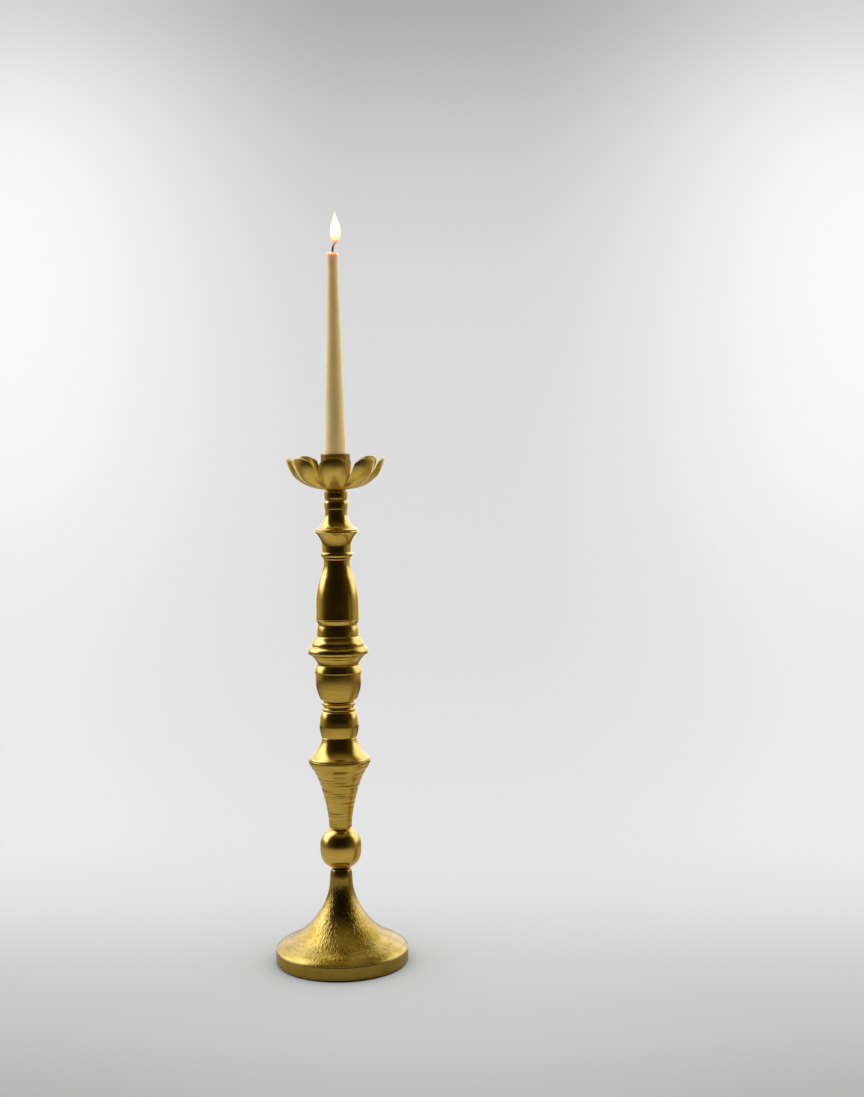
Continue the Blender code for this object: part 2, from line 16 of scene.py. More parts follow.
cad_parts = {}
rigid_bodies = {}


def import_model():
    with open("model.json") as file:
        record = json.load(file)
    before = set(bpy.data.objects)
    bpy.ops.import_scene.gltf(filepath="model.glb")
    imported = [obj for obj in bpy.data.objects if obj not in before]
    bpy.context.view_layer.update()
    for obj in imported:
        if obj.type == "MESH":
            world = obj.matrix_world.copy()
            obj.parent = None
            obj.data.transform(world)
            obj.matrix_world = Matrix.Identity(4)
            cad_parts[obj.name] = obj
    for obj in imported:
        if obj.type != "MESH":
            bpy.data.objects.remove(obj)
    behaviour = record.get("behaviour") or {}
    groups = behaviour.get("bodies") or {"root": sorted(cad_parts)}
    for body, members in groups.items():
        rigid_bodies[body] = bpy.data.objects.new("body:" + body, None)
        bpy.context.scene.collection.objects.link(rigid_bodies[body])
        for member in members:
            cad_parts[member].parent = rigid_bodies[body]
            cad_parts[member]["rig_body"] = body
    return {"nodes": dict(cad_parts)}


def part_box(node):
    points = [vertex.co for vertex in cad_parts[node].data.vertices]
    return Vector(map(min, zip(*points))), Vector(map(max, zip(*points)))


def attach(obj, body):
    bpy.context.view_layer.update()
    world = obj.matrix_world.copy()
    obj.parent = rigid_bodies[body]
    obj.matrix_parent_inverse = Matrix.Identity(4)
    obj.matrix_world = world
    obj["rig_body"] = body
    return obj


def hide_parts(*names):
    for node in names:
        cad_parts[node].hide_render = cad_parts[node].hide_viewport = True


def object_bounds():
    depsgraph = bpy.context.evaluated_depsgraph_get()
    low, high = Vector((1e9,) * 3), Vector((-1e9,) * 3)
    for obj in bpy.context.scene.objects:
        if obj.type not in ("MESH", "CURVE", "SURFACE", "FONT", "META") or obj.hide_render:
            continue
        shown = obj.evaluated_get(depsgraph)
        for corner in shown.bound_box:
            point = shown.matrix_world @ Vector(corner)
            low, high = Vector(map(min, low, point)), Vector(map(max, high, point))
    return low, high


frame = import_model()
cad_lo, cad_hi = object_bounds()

scene = bpy.context.scene
BODY_OF = {node.name: node["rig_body"] for node in frame["nodes"].values()}

MM = 0.001                # one mm in metres
PER_METRE = 1000.0        # mm in one metre
TO_DEGREES = 180.0 / math.pi

# shared sizes of the column's pieces, mm
GAP = 0.3                 # clearance between neighbouring pieces
WALL = 3.2
ROD_BORE = 4.4            # radius of the hole for the tie rod
SPIGOT_DEPTH = 2.0
SPIGOT_WALL = 2.4
SOCKET_DEPTH = 2.6        # recess that takes the spigot of the piece above


# ================================================================ node graphs
class Field:
    """A node's output. Arithmetic on fields adds Math nodes."""

    def __init__(self, graph, socket):
        self.graph, self.socket = graph, socket

    def math(self, operation, other=None, clamp=False):
        return self.graph.math(operation, self, other, clamp)

    def __add__(self, other):
        return self.math("ADD", other)

    def __radd__(self, other):
        return self.graph.math("ADD", other, self)

    def __sub__(self, other):
        return self.math("SUBTRACT", other)

    def __mul__(self, other):
        return self.math("MULTIPLY", other)

    def span(self, low, high, to_low=0.0, to_high=1.0, smooth=True):
        """Maps low..high to to_low..to_high, clamped."""
        return self.graph.add("ShaderNodeMapRange", {
            "Value": self, "From Min": low, "From Max": high, "To Min": to_low, "To Max": to_high,
        }, clamp=True, interpolation_type="SMOOTHSTEP" if smooth else "LINEAR")

    def mix(self, low, high):
        """The colour low where this field is 0, high where it is 1."""
        return self.graph.mix(self, low, high, "MIX")

    def tinted(self, color):
        """This colour multiplied by another."""
        return self.graph.mix(1.0, self, color, "MULTIPLY")

    def stretched(self, x, y, z):
        return self.graph.add("ShaderNodeVectorMath", {0: self, 1: (x, y, z)}, operation="MULTIPLY")

    def noise(self, scale, detail=2.0, roughness=0.5, distortion=0.0):
        return self.graph.add("ShaderNodeTexNoise", {
            "Vector": self, "Scale": scale, "Detail": detail,
            "Roughness": roughness, "Distortion": distortion,
        }, output="Fac")

    def ramp(self, stops, interpolation="LINEAR"):
        """A colour ramp through stops (position, grey level or colour)."""
        node = self.graph.node("ShaderNodeValToRGB")
        ramp = node.color_ramp
        ramp.interpolation = interpolation
        while len(ramp.elements) < len(stops):
            ramp.elements.new(0.5)
        for element, (position, color) in zip(ramp.elements, stops):
            element.position = position
            element.color = (*((color,) * 3 if isinstance(color, float) else color), 1.0)
        self.graph.put(node.inputs[0], self)
        return Field(self.graph, node.outputs[0])

    def xyz(self):
        node = self.graph.node("ShaderNodeSeparateXYZ", {0: self})
        return [Field(self.graph, socket) for socket in node.outputs]


class Graph:
    """Builds a node tree."""

    def __init__(self, tree):
        self.tree = tree
        tree.nodes.clear()

    def put(self, socket, value):
        if isinstance(value, Field):
            self.tree.links.new(value.socket, socket)
        elif value is not None:
            socket.default_value = (*value, 1.0) if socket.type == "RGBA" else value

    def node(self, kind, inputs=None, **settings):
        node = self.tree.nodes.new(kind)
        for key, value in settings.items():
            setattr(node, key, value)
        for key, value in (inputs or {}).items():
            self.put(node.inputs[key], value)
        return node

    def add(self, kind, inputs=None, output=0, **settings):
        return Field(self, self.node(kind, inputs, **settings).outputs[output])

    def math(self, operation, first, second=None, clamp=False):
        return self.add("ShaderNodeMath", {0: first, 1: second},
                        operation=operation, use_clamp=clamp)

    def mix(self, factor, low, high, blend):
        return self.add("ShaderNodeMix", {0: factor, 6: low, 7: high}, output=2,
                        data_type="RGBA", blend_type=blend, clamp_factor=True)

    def vector(self, x, y, z):
        return self.add("ShaderNodeCombineXYZ", {0: x, 1: y, 2: z})

    def coordinates(self, kind="Object"):
        return self.add("ShaderNodeTexCoord", output=kind)

    def bump(self, height):
        """Surface relief from a height in metres."""
        return self.add("ShaderNodeBump", {"Height": height, "Strength": 1.0, "Distance": 1.0})

    def camera_ray(self):
        return self.add("ShaderNodeLightPath", output="Is Camera Ray")

    def finish(self, shader, kind="ShaderNodeOutputMaterial"):
        self.node(kind, {"Surface": shader})

    def finish_principled(self, inputs):
        self.finish(self.add("ShaderNodeBsdfPrincipled", inputs))


def new_material(name):
    material = bpy.data.materials.new(name)
    material.use_nodes = True
    return material, Graph(material.node_tree)


def scaled(color, red, green, blue):
    return (color[0] * red, color[1] * green, color[2] * blue)


def heading(x, y):
    """Direction round Z in degrees: 0 towards the camera (-Y), 90 to the right (+X)."""
    return x.math("ARCTAN2", y * -1.0) * TO_DEGREES


# ================================================================== materials
def brass(name, light, deep, rough, *, ring, streak, aniso, grain, tarnish, edge=0.55,
          dent=0.0, gouge=0.0, painted_shade_strength=0.0, band=0.0):
    """Brass with turning rings, streaks, uneven tone, darker hollows, worn edges lightened further as
    a painted edge highlight, and optional painted shade.

    light and deep are the two tones and rough the mean roughness; the rest are the strengths
    of its details, and aniso is the anisotropy.
    """
    material, graph = new_material(name)
    coord = graph.coordinates()
    x, y, z = coord.xyz()
    radius = (x * x + y * y).math("SQRT")
    along = z + radius * 0.83          # roughly the distance along the profile
    around = y.math("ARCTAN2", x)

    def lathe_noise(along_scale, turn_scale, roughness):
        """Noise that is long round the piece and short along it."""
        place = graph.vector(along * along_scale, around.math("SINE") * turn_scale,
                             around.math("COSINE") * turn_scale)
        return place.noise(scale=1.0, detail=4.0, roughness=roughness)

    # turning rings vary along the profile, with a little drift round the piece
    place = graph.vector(along * 2600.0, around.math("SINE") * 0.35, 0.0)
    rings = place.noise(scale=1.0, detail=3.0, roughness=0.65)
    place = graph.vector(along * 416.0, around.math("COSINE") * 0.25, 3.1)
    coarse = place.noise(scale=1.0)
    streaks = lathe_noise(along_scale=1500.0, turn_scale=3.0, roughness=0.6)
    cloud = coord.noise(scale=38.0, detail=4.0, roughness=0.55, distortion=0.4)
    fine = coord.noise(scale=900.0, detail=3.0, roughness=0.6)
    pointiness = graph.add("ShaderNodeNewGeometry", output="Pointiness")
    worn_and_highlit = pointiness.span(0.505, 0.56)
    hollows = pointiness.span(0.495, 0.44)

    # colour: tone, ring shading, tarnished hollows, specks, worn edges lightened as a painted
    # highlight, painted shade
    tone = cloud * 0.6 + streaks * 0.4
    color = tone.span(0.36, 0.64).mix(deep, light)
    color = (coarse.span(0.42, 0.66) * (0.35 * ring)).mix(color, scaled(deep, 0.72, 0.72, 0.72))
    color = (hollows * tarnish).mix(color, scaled(deep, 0.32, 0.27, 0.2))
    specks = coord.noise(scale=260.0, detail=4.0, roughness=0.7).span(0.66, 0.74)
    color = (specks * (0.25 * tarnish)).mix(color, scaled(deep, 0.4, 0.34, 0.25))
    bright = tuple(min(1.0, channel * 1.18 + 0.04) for channel in light)
    # worn edges, lightened further as a painted edge highlight
    color = (worn_and_highlit * edge).mix(color, bright)
    if band:
        broad = lathe_noise(along_scale=330.0, turn_scale=0.9, roughness=0.62)
        color = (broad.span(0.44, 0.62) * band).mix(color, scaled(deep, 0.62, 0.54, 0.40))
    if painted_shade_strength:
        # painted shade, read from a per-vertex mesh attribute and broken into patches
        shade_amount = graph.add("ShaderNodeAttribute", output="Fac", attribute_name="painted_shade")
        patches = coord.noise(scale=150.0, detail=3.0, roughness=0.6)
        shade_amount = shade_amount * patches.span(0.25, 0.6, 0.55, 1.0)
        color = (shade_amount * painted_shade_strength).mix(color, scaled(deep, 0.22, 0.17, 0.1))

    roughness = (rough + (cloud - 0.5) * (0.22 * rough / 0.3)
                 + (streaks - 0.5) * (0.24 * streak) + hollows * 0.12)
    roughness = roughness.math("SUBTRACT", worn_and_highlit * 0.05, clamp=True)

    # relief, metres
    height = (rings * (0.000010 * ring) + coarse * (0.000022 * ring)
              + streaks * (0.000009 * streak) + fine * (0.000006 * grain))
    if dent:
        height = height + coord.noise(scale=95.0, detail=1.0, roughness=0.4) * (0.00012 * dent)
    if gouge:
        scratch = graph.vector(x * 420.0, y * 420.0, z * 1100.0).noise(scale=1.0, roughness=0.6)
        height = height + scratch.span(0.62, 0.7) * (-0.00001 * gouge)
    graph.finish_principled({
        "Base Color": color, "Metallic": 1.0, "Roughness": roughness,
        "Anisotropic": aniso, "Anisotropic Rotation": 0.25,
        "Tangent": graph.add("ShaderNodeTangent", direction_type="RADIAL", axis="Z"),
        "Normal": graph.bump(height),
    })
    return material


def zinc_steel():
    """Grey steel with brownish stains."""
    material, graph = new_material("zinc_steel_fine")
    tone = (0.62, 0.62, 0.60)
    coord = graph.coordinates()
    cloud = coord.noise(scale=120.0, detail=4.0, roughness=0.6)
    fine = coord.noise(scale=1400.0, detail=3.0, roughness=0.6)
    stains = coord.noise(scale=300.0, detail=3.0, roughness=0.7).span(0.62, 0.72)
    color = cloud.span(0.35, 0.65).mix(scaled(tone, 0.78, 0.78, 0.78), tone)
    color = (stains * 0.5).mix(color, (0.21, 0.17, 0.13))
    graph.finish_principled({
        "Base Color": color, "Metallic": 1.0,
        "Roughness": graph.math("ADD", 0.34, (cloud - 0.5) * 0.25, clamp=True),
        "Normal": graph.bump(fine * 0.000012),
    })
    return material


def blackened_metal():
    material, graph = new_material("blackened_metal_fine")
    coord = graph.coordinates()
    cloud = coord.noise(scale=260.0, detail=4.0, roughness=0.65)
    color = cloud.ramp([
        (0.3, (0.018, 0.014, 0.008)), (0.55, (0.05, 0.038, 0.016)), (0.72, (0.16, 0.115, 0.04)),
    ])
    pits = coord.noise(scale=700.0, detail=4.0, roughness=0.6)
    graph.finish_principled({
        "Base Color": color, "Metallic": 0.85, "Roughness": cloud.span(0.3, 0.7, 0.62, 0.42),
        "Normal": graph.bump(pits * 0.00006),
    })
    return material


def felt():
    """Dark green felt: matted fibres in clumps."""
    material, graph = new_material("felt_fine")
    coord = graph.coordinates()
    flattened = coord.stretched(1.0, 1.0, 2.2)
    fibres = flattened.noise(scale=1700.0, detail=5.0, roughness=0.75, distortion=2.5)
    clumps = coord.noise(scale=240.0, detail=3.0, roughness=0.6, distortion=1.2)
    color = fibres.span(0.32, 0.7).mix((0.012, 0.022, 0.014), (0.052, 0.085, 0.05))
    color = (clumps.span(0.45, 0.75) * 0.5).mix(color, (0.075, 0.10, 0.06))
    graph.finish_principled({
        "Base Color": color, "Roughness": 0.95, "Sheen Weight": 0.5, "Sheen Roughness": 0.6,
        "Normal": graph.bump(fibres * 0.00018 + clumps * 0.00025),
    })
    return material


def wax(top):
    """Ivory wax that scatters light, with faint ripples, a painted orange glow of the flame near its
    top, and a molten end at height top.
    """
    material, graph = new_material("candle_wax_fine")
    coord = graph.coordinates()
    z = coord.xyz()[2]
    cloud = coord.stretched(1.0, 1.0, 0.3).noise(scale=90.0, detail=3.0, roughness=0.55)
    mottle = coord.noise(scale=420.0, detail=3.0, roughness=0.6)
    ripple = coord.stretched(1.0, 1.0, 0.22).noise(scale=160.0)
    color = cloud.span(0.3, 0.7).mix((0.84, 0.65, 0.285), (0.90, 0.73, 0.37))
    color = (mottle.span(0.5, 0.75) * 0.18).mix(color, (0.90, 0.80, 0.52))
    # painted flame light: the wax turns orange towards the top
    painted_flame_glow = z.span(top - 0.024, top - 0.002)
    color = painted_flame_glow.mix(color, (0.95, 0.62, 0.40))
    molten = z.span(top - 0.0025, top - 0.0006)
    graph.finish_principled({
        "Base Color": color, "Roughness": cloud.span(0.3, 0.7, 0.40, 0.52) - molten * 0.3,
        "Subsurface Weight": 1.0, "Subsurface Radius": (1.0, 0.84, 0.58),
        "Subsurface Scale": 0.0030, "IOR": 1.44,
        "Normal": graph.bump(ripple * 0.00016 + mottle * 0.00002),
    })
    return material


def wick_cotton(burnt_from, tip):
    """Brown cotton that chars above burnt_from and glows at its tip; both are heights."""
    material, graph = new_material("wick_fine_cotton")
    coord = graph.coordinates()
    z = coord.xyz()[2]
    fibres = coord.stretched(1.0, 1.0, 0.45).noise(scale=3000.0, detail=4.0, roughness=0.7)
    burnt = z.span(burnt_from, burnt_from + 0.0045)
    color = burnt.mix((0.30, 0.17, 0.08), (0.030, 0.014, 0.008))
    color = (fibres.span(0.5, 0.75) * 0.5).mix(color, (0.09, 0.045, 0.02))
    ember = z.span(tip - 0.0062, tip - 0.0004)
    graph.finish_principled({
        "Base Color": color, "Roughness": 0.9, "Normal": graph.bump(fibres * 0.00012),
        "Emission Color": (1.0, 0.24, 0.03), "Emission Strength": ember * 0.8,
    })
    return material


GOLD, GOLD_DEEP = (0.87, 0.65, 0.18), (0.77, 0.535, 0.10)
POLISHED = brass("polished_brass_fine", GOLD, GOLD_DEEP, rough=0.17,
                 ring=0.45, streak=0.5, aniso=0.35, grain=0.3, tarnish=0.6)
SATIN = brass("turned_brass_fine", GOLD, GOLD_DEEP, rough=0.22,
              ring=0.5, streak=0.6, aniso=0.5, grain=0.2, tarnish=0.6, band=0.34)
HAMMERED = brass("hammered_brass_fine", (0.70, 0.51, 0.12), (0.43, 0.295, 0.03), rough=0.21,
                 ring=0.08, streak=0.2, aniso=0.0, grain=0.6, tarnish=0.7, edge=0.8,
                 gouge=0.8, painted_shade_strength=0.62)
# the petals' sheet brass, lightened beyond the column's brass as painted light
PETAL_BRASS_PAINTED_LIGHT = brass("petal_brass_painted_light_fine", (1.0, 0.77, 0.23), (0.94, 0.68, 0.14), rough=0.34,
                    ring=0.05, streak=0.2, aniso=0.0, grain=0.6, tarnish=0.5,
                    dent=1.0, gouge=0.8, painted_shade_strength=0.8)
RIM_BRASS = brass("rim_brass_fine", (0.50, 0.355, 0.09), (0.40, 0.27, 0.05), rough=0.31,
                  ring=0.9, streak=0.8, aniso=0.5, grain=0.5, tarnish=0.5, edge=0.9)
# painted highlight: a bright brass for the thin rolled edge of the foot
EDGE_HIGHLIGHT_BRASS = brass("edge_highlight_painted_fine", (0.93, 0.76, 0.34), (0.84, 0.64, 0.22), rough=0.30,
                   ring=0.4, streak=0.6, aniso=0.0, grain=0.5, tarnish=0.3, edge=0.9)
SOCKET_BRASS = brass("socket_brass_fine", (0.50, 0.35, 0.10), (0.38, 0.255, 0.06), rough=0.38,
                     ring=0.6, streak=0.6, aniso=0.0, grain=0.3, tarnish=0.6)
BLACKENED = blackened_metal()
STEEL = zinc_steel()
FELT = felt()


# ============================================================ profile helpers
def bow(start, end, height, count):
    """Points after start to end on a shallow arc, bowed outwards by height (inwards if < 0)."""
    run, rise = end[0] - start[0], end[1] - start[1]
    length = math.hypot(run, rise)
    points = []
    for i in range(1, count + 1):
        part = i / count
        lift = height * 4.0 * part * (1.0 - part) / length
        points.append((start[0] + run * part - rise * lift, start[1] + rise * part + run * lift))
    return points


def bead(start, end, height, count):
    """Points after start to end on a half ellipse standing out by height."""
    points = []
    for i in range(1, count + 1):
        angle = math.pi * i / count
        part = (1.0 - math.cos(angle)) / 2.0
        points.append((start[0] + (end[0] - start[0]) * part + height * math.sin(angle),
                       start[1] + (end[1] - start[1]) * part))
    return points


def outline(*steps):
    """Joins points, and curves (bow or bead, end, height, count) that start at the last point."""
    points = []
    for step in steps:
        if len(step) == 2:
            points.append(step)
        else:
            curve, end, height, count = step
            points += curve(points[-1], end, height, count)
    return points


def radius_at(profile, z):
    for (r_start, z_start), (r_end, z_end) in zip(profile, profile[1:]):
        if min(z_start, z_end) <= z <= max(z_start, z_end) and abs(z_start - z_end) > 1e-6:
            return r_start + (r_end - r_start) * (z_start - z) / (z_start - z_end)
    return profile[0][0] if z > profile[0][1] else profile[-1][0]


def hollow(outer, spigot, above, stations):
    """Closes an outer profile into a hollow section.

    spigot is the radius of the piece's own spigot, above that of the piece on top of it, and
    stations are the heights at which the inner wall follows the outer one.
    """
    top, bottom = outer[0][1], outer[-1][1]
    loop = list(outer)
    if spigot:
        bore = spigot - SPIGOT_WALL
        loop += [(spigot, bottom), (spigot, bottom - SPIGOT_DEPTH), (bore, bottom - SPIGOT_DEPTH)]
    else:
        bore = ROD_BORE
        loop.append((bore, bottom))
    for z in stations:
        loop.append((max(bore, radius_at(outer, z) - WALL), z))
    seat = min(max(bore, above - SPIGOT_WALL), above - 0.8)
    floor_z = top - SOCKET_DEPTH
    return loop + [(seat, floor_z), (above + GAP, floor_z), (above + GAP, top)]


def soften(loop, rounding, closed=True):
    """Rounds a profile's corners, with a holding point on the long flats beside them."""
    last = len(loop) - 1
    out = []
    for i, corner in enumerate(loop):
        if not closed and i in (0, last):
            out.append(corner)
            continue
        before, after = loop[i - 1], loop[(i + 1) % len(loop)]
        back = (before[0] - corner[0], before[1] - corner[1])
        ahead = (after[0] - corner[0], after[1] - corner[1])
        back_length, ahead_length = math.hypot(*back), math.hypot(*ahead)
        if back_length < 1e-6 or ahead_length < 1e-6:
            continue
        cosine = (back[0] * ahead[0] + back[1] * ahead[1]) / (back_length * ahead_length)
        turn = math.pi - math.acos(max(-1.0, min(1.0, cosine)))
        if turn < math.radians(22.0):
            out.append(corner)
            continue
        cut = min(rounding, 0.42 * back_length, 0.42 * ahead_length)
        hold = 0.5 * cut
        start = tuple(corner[c] + back[c] / back_length * cut for c in (0, 1))
        end = tuple(corner[c] + ahead[c] / ahead_length * cut for c in (0, 1))
        if back_length > 3.0 * cut:
            out.append(tuple(start[c] + back[c] / back_length * hold for c in (0, 1)))
        count = 5 if turn > math.radians(60.0) else 3
        for k in range(count + 1):
            part = k / count
            out.append(tuple(
                (1 - part) ** 2 * start[c] + 2 * part * (1 - part) * corner[c]
                + part * part * end[c] for c in (0, 1)))
        if ahead_length > 3.0 * cut:
            out.append(tuple(end[c] + ahead[c] / ahead_length * hold for c in (0, 1)))
    return out


def densify(loop, step, closed=True):
    """Splits stretches of a profile that are longer than step."""
    out = []
    for i in range(len(loop) if closed else len(loop) - 1):
        start, end = loop[i], loop[(i + 1) % len(loop)]
        out.append(start)
        count = int(math.hypot(end[0] - start[0], end[1] - start[1]) / step)
        for k in range(1, count + 1):
            part = k / (count + 1)
            out.append((start[0] + (end[0] - start[0]) * part,
                        start[1] + (end[1] - start[1]) * part))
    if not closed:
        out.append(loop[-1])
    return out


def lengths_along(points):
    """Distance of each point from the first, measured along the line."""
    steps = np.diff(np.array(points), axis=0)
    return np.concatenate([[0.0], np.cumsum(np.hypot(*steps.T))])


def respace(points, step):
    """The same line with evenly spaced points."""
    radii, heights = np.array(points).T
    lengths = lengths_along(points)
    count = max(2, int(round(lengths[-1] / step)))
    even = np.linspace(0.0, lengths[-1], count + 1)
    return list(zip(np.interp(even, lengths, radii), np.interp(even, lengths, heights)))


# =============================================================== mesh helpers
def mesh_object(name, verts, faces, finish):
    mesh = bpy.data.meshes.new(name)
    mesh.from_pydata(verts, [], faces)
    mesh.update()
    mesh.shade_smooth()
    mesh.materials.append(finish)
    obj = bpy.data.objects.new(name, mesh)
    scene.collection.objects.link(obj)
    return obj


def stand_for(obj, node):
    """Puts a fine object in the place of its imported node."""
    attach(obj, BODY_OF[node])
    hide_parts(node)


def height_range(node):
    """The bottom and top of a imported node's box, mm."""
    low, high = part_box(node)
    return low.z * PER_METRE, high.z * PER_METRE


def anchored(node, loop):
    """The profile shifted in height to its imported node's box; raises if its size is wrong."""
    low, high = height_range(node)
    node_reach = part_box(node)[1].x * PER_METRE
    z_low, z_high = min(z for _, z in loop), max(z for _, z in loop)
    reach = max(radius for radius, _ in loop)
    if abs((high - low) - (z_high - z_low)) > 1.2 or abs(node_reach - reach) > 1.0:
        raise ValueError(f"{node}: the profile is {reach:.2f} x {z_high - z_low:.2f} mm, "
                         f"the node {node_reach:.2f} x {high - low:.2f}")
    shift = low - z_low
    return [(radius, z + shift) for radius, z in loop]


def swept(name, loop, finish, segments=160, closed=True, shape=None):
    """A profile swept round Z. shape(radii, heights, angles, index) may change a ring."""
    angles = np.arange(segments) * (2.0 * np.pi / segments)
    cos, sin = np.cos(angles), np.sin(angles)
    verts, rings = [], []
    for i, (radius, z) in enumerate(loop):
        if radius < 1e-6:
            rings.append([len(verts)])
            verts.append((0.0, 0.0, z * MM))
            continue
        radii, heights = np.full(segments, radius), np.full(segments, z)
        if shape is not None:
            radii, heights = shape(radii, heights, angles, i)
        rings.append(list(range(len(verts), len(verts) + segments)))
        verts.extend(zip((radii * cos * MM).tolist(), (radii * sin * MM).tolist(),
                         (heights * MM).tolist()))
    faces = []
    pairs = list(zip(rings, rings[1:])) + ([(rings[-1], rings[0])] if closed else [])
    for upper, lower in pairs:
        if len(upper) == 1 and len(lower) == 1:
            continue
        for j in range(segments):
            k = (j + 1) % segments
            if len(upper) == 1:
                faces.append((upper[0], lower[j], lower[k]))
            elif len(lower) == 1:
                faces.append((upper[j], lower[0], upper[k]))
            else:
                faces.append((upper[j], lower[j], lower[k], upper[k]))
    return mesh_object(name, verts, faces, finish)


def turned(node, loop, finish, segments=160, rounding=0.28, step=1.6, shape=None, closed=True):
    """The fine version of a turned node."""
    loop = densify(soften(anchored(node, loop), rounding, closed), step, closed)
    stand_for(swept(node + "_fine", loop, finish, segments, closed, shape), node)


# ======================================================================= foot
FELT_OUTER, FELT_INNER, FELT_THICKNESS = 71.0, 62.8, 1.5
turned("felt_ring", [
    (FELT_OUTER, FELT_THICKNESS), (FELT_OUTER, 0.0),
    (FELT_INNER, 0.0), (FELT_INNER, FELT_THICKNESS),
], FELT, segments=200, rounding=0.4, step=1.0)

FOOT_BASE, FOOT_TOP = 1.8, 104.2 - GAP / 2.0
NECK_RADIUS, FLARE_RADIUS = 12.3, 69.9
FLARE_BOTTOM, FLARE_TOP = 21.6, 95.0
FLARE_POWER_ACROSS, FLARE_POWER_UP = 1.42, 2.0   # exponents of the flare's superellipse
FOOT_SEGMENTS = 720
HAMMER_DEPTH = 0.25


def flare(count):
    """The foot's concave flare, from the neck down and out."""
    width, drop = FLARE_RADIUS - NECK_RADIUS, FLARE_TOP - FLARE_BOTTOM
    points = []
    for i in range(count + 1):
        radius = NECK_RADIUS + width * (i / count) ** 1.6
        fall = max(0.0, 1.0 - ((FLARE_RADIUS - radius) / width) ** FLARE_POWER_ACROSS)
        points.append((radius, FLARE_TOP - drop * fall ** (1.0 / FLARE_POWER_UP)))
    return points


def hammer_marks(points, segments):
    """Depth (0 down to -1.1) of overlapping long hammer marks, one row per profile point."""
    rng = np.random.RandomState(7)
    lengths = lengths_along(points)
    radii = np.array(points)[:, 0]
    # angle round the foot, place along the profile, slant, half length, half width, depth
    marks = []
    row = -3.0
    while row < lengths[-1] + 3.0:
        radius = float(np.interp(row, lengths, radii))
        count = max(10, int(round(2.0 * math.pi * radius / 1.7)))
        offset = rng.uniform(0.0, 1.0)
        for k in range(count):
            marks.append((
                2.0 * math.pi * (k + offset + rng.uniform(-0.30, 0.30)) / count,
                row + rng.uniform(-1.8, 1.8), math.radians(rng.uniform(-15.0, 19.0)),
                rng.uniform(3.4, 6.0), rng.uniform(0.72, 1.15), rng.uniform(0.65, 1.15),
            ))
        row += 3.8
    marks = np.array(marks)
    angles = np.arange(segments) * (2.0 * np.pi / segments)
    depths = np.zeros((len(points), segments))
    for i, radius in enumerate(radii):
        near = marks[np.abs(marks[:, 1] - lengths[i]) < 6.3]
        angle, place, slant, half_length, half_width, depth = near.T
        across = ((angles[:, None] - angle + np.pi) % (2.0 * np.pi) - np.pi) * radius
        along = lengths[i] - place
        cos, sin = np.cos(slant), np.sin(slant)
        lengthwise, sideways = along * cos + across * sin, across * cos - along * sin
        square = (lengthwise / half_length) ** 2 + (sideways / half_width) ** 2
        depths[i] = np.min((square - 1.0) * depth, axis=1).clip(-1.1, 0.0)
    return depths


